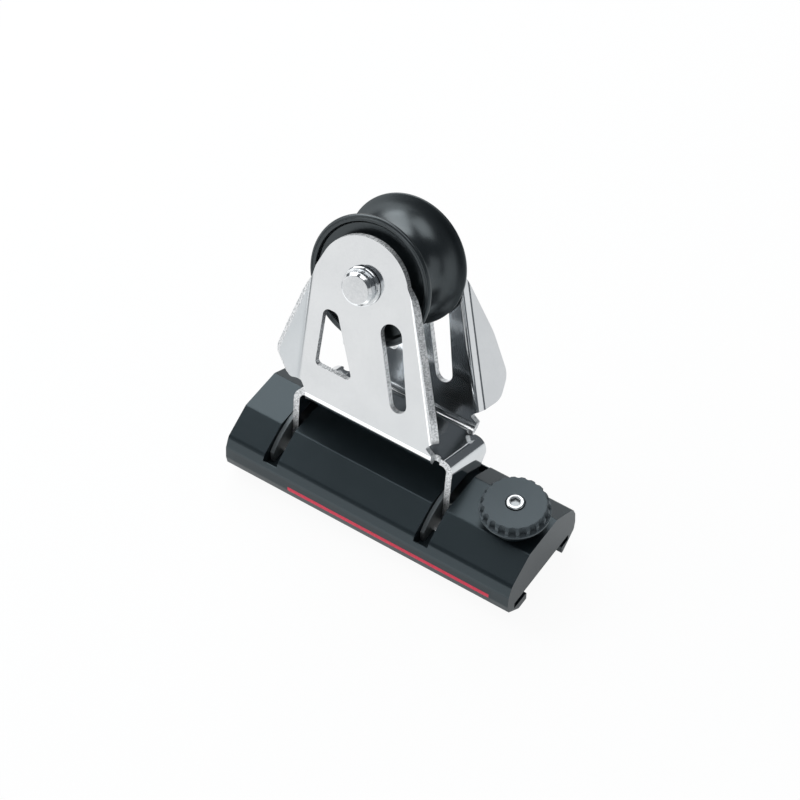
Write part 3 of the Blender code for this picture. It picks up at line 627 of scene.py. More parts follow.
def plate(name: str, loops: Sequence[Sequence[Point]], half: float, plane: Plane) -> Object:
    """A flat outline with holes, made solid to both sides.

    Args:
        name: The object's name.
        loops: The outline, then its holes.
        half: Half of the thickness, or 0 for a bare sheet.
        plane: The plane that it lies in.

    Returns:
        The new object.
    """
    curve = bpy.data.curves.new(name, "CURVE")
    curve.dimensions = "2D"
    curve.fill_mode = "BOTH"
    curve.extrude = half
    for loop in loops:
        spline = curve.splines.new("POLY")
        spline.points.add(len(loop) - 1)
        for point, (a, b) in zip(spline.points, loop):
            point.co = (a, b, 0.0, 1.0)
        spline.use_cyclic_u = True
    mesh = joined(taken(linked(name + "_guide", curve)))
    mesh.transform(Matrix(plane.value))
    return linked(name, joined(mesh))


def slab(name: str, loops: Sequence[Sequence[Point]], start: float, length: float) -> Object:
    """A plate across the car.

    Args:
        name: The object's name.
        loops: The outline in Y and Z, then its holes.
        start: Where its left face lies.
        length: From that face to the right one.

    Returns:
        The new object.
    """
    obj = plate(name, loops, length / 2.0, Plane.YZ)
    obj.data.transform(Matrix.Translation((start + length / 2.0, 0.0, 0.0)))
    return obj


def lathe(name: str, profile: Sequence[Point], steps: int = 96, place: Matrix = HERE) -> Object:
    """A turned piece.

    Args:
        name: The object's name.
        profile: (radius, height) points down the outer side, or all round if it starts off the axis.
        steps: Number of faces round it.
        place: Where it goes.

    Returns:
        The new object.
    """
    mesh = bpy.data.meshes.new(name)
    edges = [(i, i + 1) for i in range(len(profile) - 1)]
    if profile[0][0] > 0.0:
        edges.append((len(profile) - 1, 0))
    mesh.from_pydata([(r, 0.0, z) for r, z in profile], edges, [])
    obj = linked(name + "_guide", mesh)
    screw = obj.modifiers.new("turn", "SCREW")
    screw.steps = steps
    screw.render_steps = steps
    screw.use_merge_vertices = True
    screw.merge_threshold = 0.00001
    made = taken(obj)
    made.transform(place)
    return linked(name, joined(made))


def cut(obj: Object, other: Object) -> None:
    """Cuts a second solid out of a first and removes it.

    Args:
        obj: The solid to change.
        other: The solid that is cut away.
    """
    modifier = obj.modifiers.new("cut", "BOOLEAN")
    modifier.operation = "DIFFERENCE"
    modifier.solver = "EXACT"
    modifier.object = other
    applied(obj)
    bpy.data.objects.remove(other, do_unlink=True)


def softened(obj: Object, width: float, segments: int = 2, limit: float = 32.0, trim: int = -1) -> Object:
    """Rounds a solid's edges and evens its shading.

    Args:
        obj: The solid.
        width: Width of the rounding.
        segments: Faces across it.
        limit: Edges sharper than this many degrees are rounded.
        trim: Material number of the roundings, or -1 for that of the faces beside them.

    Returns:
        The same object.
    """
    joined(obj.data, 2e-6)
    obj.data.shade_smooth()
    bevel = obj.modifiers.new("edges", "BEVEL")
    bevel.width = width
    bevel.segments = segments
    bevel.limit_method = "ANGLE"
    bevel.angle_limit = math.radians(limit)
    bevel.miter_outer = "MITER_ARC"
    bevel.material = trim
    weighted = obj.modifiers.new("shading", "WEIGHTED_NORMAL")
    weighted.keep_sharp = True
    weighted.weight = 60
    return applied(obj)


def smooth(obj: Object, limit: float = 30.0) -> Object:
    """Shades a piece smooth between edges sharper than a number of degrees.

    Args:
        obj: The piece.
        limit: That number.

    Returns:
        The same piece.
    """
    obj.data.shade_smooth()
    obj.data.set_sharp_from_angle(angle=math.radians(limit))
    return obj


def two_numbers(obj: Object) -> None:
    """Gives a mesh room for the material numbers 0 and 1."""
    for _ in range(2):
        obj.data.materials.append(None)


def present(
    obj: Object, finishes: Sequence[Material], body: Body, node: str, place: Matrix = HERE,
) -> Object:
    """Places and dresses a finished piece and puts it on its body.

    Args:
        obj: The piece.
        finishes: Its materials, in the order of its material numbers.
        body: The body that it rides on.
        node: The CAD node that it replaces.
        place: Where its mesh goes.

    Returns:
        The piece.
    """
    obj.data.transform(place)
    numbers = [min(face.material_index, len(finishes) - 1) for face in obj.data.polygons]
    obj.data.materials.clear()
    for finish in finishes:
        obj.data.materials.append(finish)
    obj.data.polygons.foreach_set("material_index", numbers)
    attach(obj, body.value)
    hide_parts(node)
    LOG.info("%s: %d faces on %s", obj.name, len(obj.data.polygons), body.value)
    return obj


class GeoTree(Tree):
    """A Geometry Nodes tree built in the script."""

    def __init__(self, name: str, sizes: dict[str, Union[int, float]]) -> None:
        """Starts the tree.

        Args:
            name: The tree's name.
            sizes: Its named inputs and their values.
        """
        group = bpy.data.node_groups.new(name, "GeometryNodeTree")
        super().__init__(group)
        self.sizes = sizes
        group.interface.new_socket("Geometry", in_out="INPUT", socket_type="NodeSocketGeometry")
        for key, value in sizes.items():
            kind = "NodeSocketInt" if isinstance(value, int) else "NodeSocketFloat"
            group.interface.new_socket(key, in_out="INPUT", socket_type=kind)
        group.interface.new_socket("Geometry", in_out="OUTPUT", socket_type="NodeSocketGeometry")
        self.source = group.nodes.new("NodeGroupInput")
        self.sink = group.nodes.new("NodeGroupOutput")

    def size(self, name: str) -> Expr:
        """One of the tree's inputs."""
        return Expr(self, self.source.outputs[name])

    def bars(self, count: str, ring: str, radius: str, length: str, sides: int) -> Expr:
        """Upright round bars on a ring.

        Args:
            count: Input with their number.
            ring: Input with the ring's radius.
            radius: Input with a bar's radius.
            length: Input with a bar's length.
            sides: Faces round a bar.

        Returns:
            The bars, as instances.
        """
        places = {"Vertices": self.size(count), "Radius": self.size(ring)}
        form = {"Vertices": sides, "Radius": self.size(radius), "Depth": self.size(length)}
        points = self.node("GeometryNodeMeshCircle", {}, places)
        bar = self.node("GeometryNodeMeshCylinder", {}, form)
        return self.node("GeometryNodeInstanceOnPoints", {}, {"Points": points, "Instance": bar})

    def raised(self, geometry: Expr, height: Expr) -> Expr:
        """Moves geometry up."""
        lift = self.node("ShaderNodeCombineXYZ", {}, {2: height})
        return self.node("GeometryNodeTransform", {}, {"Geometry": geometry, "Translation": lift})

    def realized(self, geometry: Expr) -> Expr:
        """Turns instances into plain geometry."""
        return self.node("GeometryNodeRealizeInstances", {}, {0: geometry})

    def apply(self, obj: Object, geometry: Expr, finish: Material) -> Object:
        """Ends the tree in Realize Instances and Set Material, and runs it on an object.

        Args:
            obj: The object, which keeps a plain mesh.
            geometry: What the tree made.
            finish: The material that it gets.

        Returns:
            The same object.
        """
        inputs = {"Geometry": self.realized(geometry), "Material": finish}
        self.link(self.node("GeometryNodeSetMaterial", {}, inputs), self.sink.inputs[0])
        modifier = obj.modifiers.new("made", "NODES")
        modifier.node_group = self.tree
        for item in self.tree.interface.items_tree:
            if item.in_out == "INPUT" and item.name in self.sizes:
                modifier[item.identifier] = self.sizes[item.name]
        return applied(obj)


@dataclass
class CarBody:
    """The extruded slider body, its label and its slot liners."""

    length: float = 0.1248
    left: float = -0.0531
    slot_width: float = 0.0062
    slot_drop: float = 0.0090
    slot_floor: float = 0.0130
    slot_end: float = 0.0216
    slot_beyond: float = 0.04
    pocket_half: float = 0.0109
    pocket_overrun: float = 0.0012
    lip_near: float = 0.0101
    lip_far: float = 0.0144
    lip_top: float = 0.0031
    channel_half: float = 0.0186
    crisp: float = 0.0003
    drops: tuple[Corner, ...] = (
        (0.0093, 0.0, 0.0016), (0.0209, 0.0066, 0.0034), (0.0229, 0.0112, 0.0040),
        (0.02328, 0.0165, 0.0050), (0.0226, 0.0203, 0.0012), (0.0153, 0.0262, 0.0012),
    )
    end_round: float = 0.0007
    bore_end: float = 0.0433
    stop_bore: float = 0.0052
    stop_floor: float = 0.0145
    past: float = 0.01
    recess_ends: Point = (-0.0493, 0.0640)
    recess_drops: Point = (0.0127, 0.0183)
    recess_floor: float = 0.0223
    label_ends: Point = (-0.0497, 0.0644)
    label_drops: Point = (0.0123, 0.0187)
    label_proud: float = 0.000008
    label_depth: float = 0.0004
    liner: float = 0.0016
    liner_half: float = 0.0175
    liner_drop: float = 0.0079
    liner_foot: float = 0.0012

    def half_section(self, lip: float) -> list[Corner]:
        """Half of the section, from the top face down to the channel's ceiling.

        Args:
            lip: Where its lip ends.

        Returns:
            Its corners.
        """
        outer = [(a, TOP - drop, r) for a, drop, r in self.drops]
        inner = [(lip, outer[-1][1]), (lip, -self.lip_top)]
        inner += [(self.channel_half, -self.lip_top), (self.channel_half, 0.0)]
        return outer + [(a, b, self.crisp) for a, b in inner]

    def slot_starts(self) -> list[float]:
        """Left wall of each cross slot."""
        margin = self.liner + 2.0 * GAP
        return [-LEG_OUTER - margin, LEG_OUTER - SHEET - margin]

    def slot(self, left: float) -> Object:
        """Cutter of a cross slot, with the pocket for the leg's end under it.

        Args:
            left: The slot's left wall.

        Returns:
            The cutter.
        """
        brink = TOP - self.slot_drop
        floor = TOP - self.slot_floor
        half = [
            (self.pocket_half, -self.pocket_overrun), (self.pocket_half, floor), (self.slot_end, floor),
            (self.slot_end, brink), (self.slot_beyond, brink), (self.slot_beyond, TOP + self.past),
        ]
        outline = [(-a, b) for a, b in reversed(half)][1:] + half + [(-self.slot_beyond, TOP + self.past)]
        return slab("slot", [outline], left, self.slot_width)

    def bores(self) -> list[Object]:
        """Cutters of the pivot rod's bore and the stop's.

        Returns:
            The two cutters.
        """
        along = Matrix.Translation((0.0, 0.0, PIVOT_Z)) @ Matrix.Rotation(math.radians(90.0), 4, "Y")
        start = self.left - self.past
        pivot = [(0.0, self.bore_end), (PIVOT_BORE, self.bore_end), (PIVOT_BORE, start), (0.0, start)]
        high = TOP + self.past / 2.0
        low = TOP - self.stop_floor
        under = -self.past / 2.0
        stop = [(0.0, high), (self.stop_bore, high), (self.stop_bore, low)]
        stop += [(PIVOT_BORE, low), (PIVOT_BORE, under), (0.0, under)]
        made = [lathe("pivot_bore", pivot, 64), lathe("stop_bore", stop, 64)]
        for obj, place in zip(made, (along, STOP)):
            obj.data.transform(place)
        return made

    def recess(self) -> Object:
        """Cutter of the label's recess in the near side.

        Returns:
            The cutter.
        """
        left, right = self.recess_ends
        high, low = (TOP - drop for drop in self.recess_drops)
        outline = [(left, low), (right, low), (right, high), (left, high)]
        obj = plate("recess", [outline], self.past, Plane.XZ)
        obj.data.transform(Matrix.Translation((0.0, -self.recess_floor - self.past, 0.0)))
        return obj

    def shell(self) -> Object:
        """The extrusion with its slots, bores and label recess.

        Returns:
            The body.
        """
        near = [(-a, b, r) for a, b, r in reversed(self.half_section(self.lip_near))]
        section = filleted(self.half_section(self.lip_far) + near)
        body = softened(slab("body_extrusion", [section], self.left, self.length), self.end_round, 4, 60.0)
        for cutter in [*map(self.slot, self.slot_starts()), *self.bores(), self.recess()]:
            cut(body, cutter)
        return softened(body, 0.00030, 3, 24.0)

    def label(self) -> Object:
        """The film strip, a thin band that hugs the near side.

        Returns:
            The strip.
        """
        high, low = (TOP - drop for drop in self.label_drops)
        side = filleted(self.half_section(self.lip_near))
        outer: list[Point] = []
        for (a, b), (c, d) in zip(side, side[1:]):
            for height in (high, low):
                if min(b, d) < height < max(b, d):
                    outer.append((a + (c - a) * (height - b) / (d - b), height))
            if low < d < high:
                outer.append((c, d))
        outer.sort(key=lambda point: -point[1])
        band = [(-a - self.label_proud, b) for a, b in outer]
        band += [(-a + self.label_depth, b) for a, b in reversed(outer)]
        left, right = self.label_ends
        return smooth(slab("label_strip", [band], left, right - left))

    def liner_plate(self, name: str, left: float) -> Object:
        """An arched slot liner.

        Args:
            name: Its name.
            left: Left wall of its slot.

        Returns:
            The liner.
        """
        half = self.liner_half
        radius = (half * half + self.liner_drop * self.liner_drop) / (2.0 * self.liner_drop)
        reach = math.asin(half / radius)
        ledge = TOP - self.slot_floor + GAP
        neck = self.pocket_half - 2.0 * GAP
        foot = 0.6 * neck
        outline = arc(radius, math.pi / 2.0 - reach, math.pi / 2.0 + reach, 48, (0.0, TOP - radius))
        outline += [
            (-half, ledge), (-neck, ledge), (-neck, PIVOT_Z), (-foot, self.liner_foot),
            (foot, self.liner_foot), (neck, PIVOT_Z), (neck, ledge), (half, ledge),
        ]
        made = slab(name, [outline, circle(PIVOT_BORE, (0.0, PIVOT_Z))], left + GAP, self.liner)
        return softened(made, 0.00015)

    def build(self) -> None:
        """Makes and dresses every piece of the body."""
        present(self.shell(), [Anodised("satin_black").build()], Body.CAR, "car_body")
        film = StripedFilm("striped_film").build()
        present(self.label(), [film], Body.CAR, "side_label_strip")
        # The liners are dark plastic. Their grey colour is partly a painted sheen.
        plastic = Moulded("liner_black", (0.105, 0.115, 0.118), (0.130, 0.141, 0.145), 0.45).build()
        for side, left in zip(("left", "right"), self.slot_starts()):
            made = self.liner_plate("liner_plate_" + side, left)
            present(made, [plastic], Body.CAR, "slot_liner_" + side)


@dataclass(frozen=True)
class CheekEdge:
    """A slanted edge of a cheek and the wing that is flared out of it.

    A mark of the wing's outline is (up, out, rounding), as shares of its length, reach and length.
    """

    side: int
    slant: float
    offset: float
    length: float
    reach: float
    marks: tuple[Corner, ...]
    drop: float = 0.0477

    @property
    def normal(self) -> Vector:
        """Outward direction, to the left for side -1 and to the right for side 1."""
        return Vector((math.cos(self.slant), math.sin(self.slant))) * self.side

    @property
    def way(self) -> Vector:
        """Direction up the edge."""
        return Vector((-math.sin(self.slant), math.cos(self.slant)))

    @property
    def foot(self) -> Vector:
        """Lower end of the edge."""
        across = (self.offset + self.normal.y * self.drop) / abs(self.normal.x)
        return Vector((PIN_X + math.copysign(across, self.side), PIN_HEIGHT - self.drop))

    def wing(self) -> list[Corner]:
        """Outline of the flat wing, from its lower end up.

        Returns:
            Its corners.
        """
        marks = [(0.0, 0.0, 0.0), *self.marks, (1.0, 0.0, 0.0)]
        sized = [(self.length * t, self.reach * w, self.length * r) for t, w, r in marks]
        return [(*(self.foot + self.way * t + self.normal * w), r) for t, w, r in sized]


@dataclass
class SteelFrame:
    """The folded sheet: web, two cheeks with flared wings, and two legs."""

    leg_half: float = 0.0126
    leg_end: float = 0.0062
    web_under: float = 0.0225
    foot_left: float = 0.0279
    foot_right: float = 0.0269
    bend_inner: float = 0.0025
    relief: float = 0.0016
    notch: float = 0.0019
    notch_round: float = 0.0006
    head_start: float = math.radians(23.1) + 0.06
    head_end: float = math.radians(163.0)
    flare: float = math.radians(55.0)
    pin_hole: float = 0.0050
    left_window: tuple[Corner, ...] = (
        (-0.0129, -0.0152, 0.0026), (-0.0112, -0.0386, 0.0018), (0.0051, -0.0386, 0.0018),
        (-0.0070, -0.0152, 0.0026),
    )
    right_window: tuple[Corner, Corner] = ((0.0156, -0.0134, 0.0044), (0.0248, -0.0380, 0.0035))
    bend_steps: int = 10
    left: CheekEdge = CheekEdge(
        -1, math.radians(5.9), 0.0199, 0.0470, 0.01136,
        ((0.030, 0.50, 0.06), (0.270, 1.01, 0.12), (0.45, 0.78, 0.50), (0.90, 0.12, 0.10)),
    )
    right: CheekEdge = CheekEdge(
        1, math.radians(23.1), HEAD_RADIUS, 0.0590, 0.01350,
        ((0.060, 0.72, 0.10), (0.21, 1.02, 0.17), (0.50, 0.77, 0.60), (0.93, 0.13, 0.10)),
    )

    def __post_init__(self) -> None:
        """Works out the sizes that depend on others."""
        self.radius = self.bend_inner + SHEET / 2.0
        self.quarter = self.radius * math.pi / 2.0
        self.web = self.web_under + SHEET / 2.0
        self.cheek_line = CHEEK_OUTER - self.bend_inner - SHEET
        self.leg_line = LEG_OUTER - self.bend_inner - SHEET

    def cheek(self) -> list[Corner]:
        """Outline of a cheek with its flat wings.

        Returns:
            Its corners.
        """
        low = self.right.foot.y
        head = arc(HEAD_RADIUS, self.head_start, self.head_end, 48, (PIN_X, PIN_HEIGHT))
        return [
            (self.foot_right, low - self.notch * 1.8, 0.0),
            (self.right.foot.x - self.notch * 0.6, low - self.notch * 0.9, self.notch_round),
            *self.right.wing(),
            *[(a, b, 0.0) for a, b in head],
            *self.left.wing()[::-1],
            (self.left.foot.x + self.notch * 0.8, low - self.notch * 0.9, self.notch_round),
            (-self.foot_left, low - self.notch * 1.8, 0.0),
        ]

    def windows(self) -> list[list[Point]]:
        """The left window of a cheek, the long right one with its two round ends, and the axle hole.

        Returns:
            The three outlines.
        """
        left, (first, last) = (
            [(PIN_X + a, PIN_HEIGHT + b, r) for a, b, r in window]
            for window in (self.left_window, self.right_window)
        )
        run = Vector((last[0] - first[0], last[1] - first[1]))
        heading = math.atan2(run.y, run.x)
        lean = math.acos((first[2] - last[2]) / run.length)
        right = arc(first[2], heading + lean, heading + 2.0 * math.pi - lean, 24, first[:2])
        right += arc(last[2], heading - lean, heading + lean, 18, last[:2])
        return [filleted(left), right, circle(self.pin_hole, (PIN_X, PIN_HEIGHT))]

    def cheek_flat(self, height: float) -> float:
        """Distance across the blank of a cheek's point at that height."""
        return self.cheek_line + self.quarter + height - (self.web + self.radius)

    def leg_flat(self, height: float) -> float:
        """Distance along the blank of a leg's point at that height."""
        return self.leg_line + self.quarter + (self.web - self.radius) - height

    def leg(self) -> list[Corner]:
        """Outline of the right leg, which narrows from its bend to a round end about the pivot.

        Returns:
            Its corners.
        """
        top = self.web_under - self.bend_inner - GAP
        turn = math.atan2(self.leg_half, top) + math.acos(self.leg_end / math.hypot(top, self.leg_half))
        last = math.pi - turn
        shoulder = self.leg_flat(top)
        tip = arc(self.leg_end, -last, last, 24, (self.leg_flat(0.0), 0.0))
        points = [(shoulder, -self.leg_half), *tip, (shoulder, self.leg_half)]
        return [(a, b, 0.0) for a, b in points]

    def blank(self) -> list[list[Point]]:
        """Outline and holes of the flat blank.

        Returns:
            The outline, then the holes.
        """
        right = arc(self.relief, 0.0, -1.5 * math.pi, 24, (self.foot_right, self.leg_half))
        left = arc(self.relief, 0.5 * math.pi, -math.pi, 24, (-self.foot_left, self.leg_half))
        far = [(a, b, 0.0) for a, b in right]
        far += [(a, self.cheek_flat(b), r) for a, b, r in self.cheek()]
        far += [(a, b, 0.0) for a, b in left]
        corners = self.leg() + far
        corners += [(-a, -b, r) for a, b, r in self.leg()]
        corners += [(a, -b, r) for a, b, r in reversed(far)]
        loops = [filleted(corners)]
        for face in (-1.0, 1.0):
            loops += [[(a, face * self.cheek_flat(b)) for a, b in hole] for hole in self.windows()]
        loops += [circle(PIVOT_BORE, (side * self.leg_flat(0.0), 0.0)) for side in (-1.0, 1.0)]
        return loops

    def bent(self, distance: float, angle: float) -> Point:
        """Place past a bend line of a point of the sheet.

        Args:
            distance: How far past the line it is in the flat.
            angle: Angle of the bend.

        Returns:
            Distance on and rise.
        """
        if distance <= self.radius * angle:
            turned = max(0.0, distance) / self.radius
            on = self.radius * math.sin(turned) + min(0.0, distance)
            return on, self.radius * (1.0 - math.cos(turned))
        rest = distance - self.radius * angle
        on = self.radius * math.sin(angle) + rest * math.cos(angle)
        return on, self.radius * (1.0 - math.cos(angle)) + rest * math.sin(angle)

    def fold(self, u: float, v: float) -> Vector:
        """Where a point of the blank ends up.

        Args:
            u: Its place along the car.
            v: Its place across it.

        Returns:
            Its place in the frame, measured from the pivot.
        """
        face = 1.0 if v > 0.0 else -1.0
        if abs(v) <= self.cheek_line:
            if abs(u) <= self.leg_line:
                return Vector((u, v, self.web))
            on, rise = self.bent(abs(u) - self.leg_line, math.pi / 2.0)
            return Vector((math.copysign(self.leg_line + on, u), v, self.web - rise))
        on, rise = self.bent(abs(v) - self.cheek_line, math.pi / 2.0)
        across = self.cheek_line + on
        height = self.web + rise
        for edge in (self.left, self.right):
            here = Vector((u, height)) - edge.foot
            out = here.dot(edge.normal)
            up = here.dot(edge.way)
            if out > 1e-9 and up > -1e-6:
                along, lift = self.bent(out, self.flare)
                place = edge.foot + edge.way * up + edge.normal * along
                return Vector((place.x, face * (across + lift), place.y))
        return Vector((u, face * across, height))

    def score(
        self, bm: bmesh.types.BMesh, centre: Vector, normal: Vector, length: float,
        chosen: Callable[[Vector], bool],
    ) -> None:
        """Cuts faces of the blank along the lines of one bend.

        Args:
            bm: The blank.
            centre: A point of the first line.
            normal: Direction across the lines.
            length: From the first line to the last.
            chosen: Says of a face's middle whether it is cut.
        """
        for k in range(self.bend_steps + 1):
            faces = [f for f in bm.faces if chosen(f.calc_center_median())]
            edges = {e for f in faces for e in f.edges}
            verts = {v for f in faces for v in f.verts}
            bmesh.ops.bisect_plane(
                bm, geom=[*verts, *edges, *faces], dist=1e-7,
                plane_co=centre + normal * (length * k / self.bend_steps), plane_no=normal,
            )

    def folded(self) -> Object:
        """The blank, scored along its bends and folded.

        Returns:
            The bare sheet.
        """
        obj = plate("folded_frame", self.blank(), 0.0, Plane.XY)
        bm = bmesh.new()
        bm.from_mesh(obj.data)
        for face in (-1.0, 1.0):
            across = Vector((0.0, face, 0.0))
            along = Vector((face, 0.0, 0.0))
            self.score(bm, across * self.cheek_line, across, self.quarter, lambda c: True)
            self.score(
                bm, along * self.leg_line, along, self.quarter, lambda c: abs(c.y) < self.cheek_line,
            )
        start = self.cheek_line + self.quarter
        for face in (-1.0, 1.0):
            for edge in (self.left, self.right):
                self.score(
                    bm, Vector((edge.foot.x, face * self.cheek_flat(edge.foot.y), 0.0)),
                    Vector((edge.normal.x, face * edge.normal.y, 0.0)), self.radius * self.flare,
                    lambda c, face=face: c.y * face > start,
                )
        for vert in bm.verts:
            vert.co = self.fold(vert.co.x, vert.co.y)
        bmesh.ops.recalc_face_normals(bm, faces=bm.faces)
        bmesh.ops.dissolve_limit(bm, angle_limit=math.radians(0.1), verts=bm.verts, edges=bm.edges)
        bm.to_mesh(obj.data)
        bm.free()
        return obj

    def build(self) -> None:
        """Folds the sheet, thickens it and dresses it."""
        obj = self.folded()
        solid = obj.modifiers.new("sheet", "SOLIDIFY")
        solid.thickness = SHEET
        solid.offset = 0.0
        solid.use_even_offset = True
        solid.material_offset_rim = 1
        two_numbers(obj)
        softened(applied(obj), 0.00042, 3, 50.0, 0)
        faces = PolishedSteel("polished_sheet", LEANING, wave_depth=0.00010).build()
        edges = ShearedEdge("sheared_edge").build()
        present(obj, [faces, edges], Body.FRAME, "saddle_frame", LEANING)


@dataclass
class Wheel:
    """The sheave with its axle, nut and rollers.

    Each piece is turned about the axle, with heights towards the near side.
    """

    radius: float = 0.0250
    half: float = 0.0136
    groove_half: float = 0.0119
    groove_depth: float = 0.0095
    lip: float = 0.0010
    bore: float = 0.0106
    chamfer: float = 0.0004
    dish: float = 0.0012
    dish_start: float = 0.0132
    dish_end: float = 0.0226
    dish_slope: float = 0.0008
    step: float = 0.00012
    step_start: float = 0.0236
    step_end: float = 0.0240
    race: float = 0.0068
    rollers: int = 10
    roller_radius: float = 0.0016
    roller_length: float = 0.0116
    roller_middle: float = 0.0070
    cage_middle: float = 0.0013
    cage_half: float = 0.0005
    axle_radius: float = 0.0047
    axle_end: float = 0.02058
    head_radius: float = 0.0064
    head_length: float = 0.0048
    collar_radius: float = 0.0075
    collar_height: float = 0.0011
    nut_bore: float = 0.0050
    nut_radius: float = 0.0066
    nut_start: float = 0.02088
    nut_length: float = 0.0034

    def __post_init__(self) -> None:
        """Works out where the axle is and where the cheeks' outer faces are."""
        self.lying = Matrix.Rotation(math.radians(90.0), 4, "X")
        self.cheek = CHEEK_OUTER + GAP

    def profile(self) -> list[Point]:
        """Half section of the sheave as a closed loop.

        Returns:
            Its (radius, height) points.
        """
        groove_radius = (self.groove_half ** 2 + self.groove_depth ** 2) / (2.0 * self.groove_depth)
        shoulder = self.radius - self.lip
        reach = math.asin(min(1.0, self.groove_half / groove_radius))
        centre = (shoulder - self.groove_depth + groove_radius, 0.0)
        half = self.half
        upper = [
            (self.bore, half - self.chamfer, 0.0), (self.bore + self.chamfer, half, 0.0),
            (self.dish_start, half, 0.0002), (self.dish_start + self.dish_slope, half - self.dish, 0.0004),
            (self.dish_end - self.dish_slope, half - self.dish, 0.0004), (self.dish_end, half, 0.0002),
            (self.step_start, half, 0.0), (self.step_start + 0.0001, half - self.step, 0.0),
            (self.step_end - 0.0001, half - self.step, 0.0), (self.step_end, half, 0.0),
            (self.radius, half, 0.0008),
            (self.radius, self.groove_half + 0.0004, 0.0003),
        ]
        groove = arc(groove_radius, math.pi - reach, math.pi + reach, 48, centre)
        lower = [(r, -z, f) for r, z, f in reversed(upper)]
        return filleted(upper + [(r, z, 0.0) for r, z in groove] + lower)

    def roller_row(self, name: str, side: float, finish: Material) -> Object:
        """A row of rollers round the race, made by a node tree round their cage.

        Args:
            name: The piece's name.
            side: -1 for the near row and 1 for the far one.
            finish: Its material.

        Returns:
            The row, in the axle's own axes.
        """
        low = self.race + GAP
        track = low + self.roller_radius
        tree = GeoTree(name + "_tree", {
            "Rollers": self.rollers, "Ring radius": track, "Roller radius": self.roller_radius - 0.00005,
            "Roller length": self.roller_length,
        })
        bars = tree.bars("Rollers", "Ring radius", "Roller radius", "Roller length", 32)
        turn = (math.radians(90.0), 0.0, 0.0)
        inputs = {"Geometry": bars, "Rotation": turn, "Translation": (0.0, side * self.roller_middle, 0.0)}
        row = tree.node("GeometryNodeTransform", {}, inputs)
        both = tree.node("GeometryNodeJoinGeometry", {}, {0: row})
        tree.link(tree.size("Geometry"), both.socket.node.inputs[0])
        high = track + self.roller_radius * 0.8
        near, far = (-side * self.cage_middle + end for end in (self.cage_half, -self.cage_half))
        cage = lathe(name, [(low, near), (high, near), (high, far), (low, far)], 64, self.lying)
        return smooth(tree.apply(cage, both, finish))

    def axle(self) -> Object:
        """The headed axle.

        Returns:
            The axle, in its own axes.
        """
        near = self.cheek
        head = near + self.head_length
        profile = filleted([
            (0.0, head, 0.0), (self.head_radius - 0.0010, head, 0.0004),
            (self.head_radius, head - 0.0009, 0.0004), (self.head_radius, near + 0.0016, 0.0002),
            (self.head_radius - 0.0005, near + 0.0012, 0.0),
            (self.collar_radius - 0.0003, near + self.collar_height, 0.0003),
            (self.collar_radius, near + self.collar_height - 0.0003, 0.0002),
            (self.collar_radius, near, 0.0), (self.axle_radius, near, 0.0),
            (self.axle_radius, -self.axle_end, 0.0), (0.0, -self.axle_end, 0.0),
        ])
        return smooth(lathe("headed_axle", profile, 96, self.lying))

    def nut(self) -> Object:
        """The round nut on the far cheek.

        Returns:
            The nut, in the axle's own axes.
        """
        high = -self.cheek
        low = high - self.nut_length
        profile = [
            (0.0, -self.nut_start), (self.nut_bore, -self.nut_start), (self.nut_bore, high),
            (self.nut_radius - 0.0002, high), (self.nut_radius, high - 0.0002),
            (self.nut_radius, low + 0.0008), (self.nut_radius - 0.0003, low + 0.00025),
            (self.nut_radius - 0.0008, low), (0.0, low),
        ]
        return smooth(lathe("round_nut", profile, 96, self.lying))

    def build(self) -> None:
        """Makes and dresses every piece on the axle."""
        black = TurnedBlack("gloss_black_turned", AXLE).build()
        steel = PolishedSteel("polished_bar", AXLE, speckle=0.9, roughness=0.14).build()
        sheave = smooth(lathe("grooved_sheave", self.profile(), 160, self.lying), 24.0)
        present(sheave, [black], Body.WHEEL, "sheave", AXLE)
        present(self.axle(), [steel], Body.FRAME, "axle_pin", AXLE)
        present(self.nut(), [steel], Body.FRAME, "axle_nut", AXLE)
        plastic = Moulded("roller_plastic").build()
        for name, side in (("near", -1.0), ("far", 1.0)):
            row = self.roller_row("rollers_" + name, side, plastic)
            present(row, [plastic], Body.ROLLERS, "roller_row_" + name, AXLE)


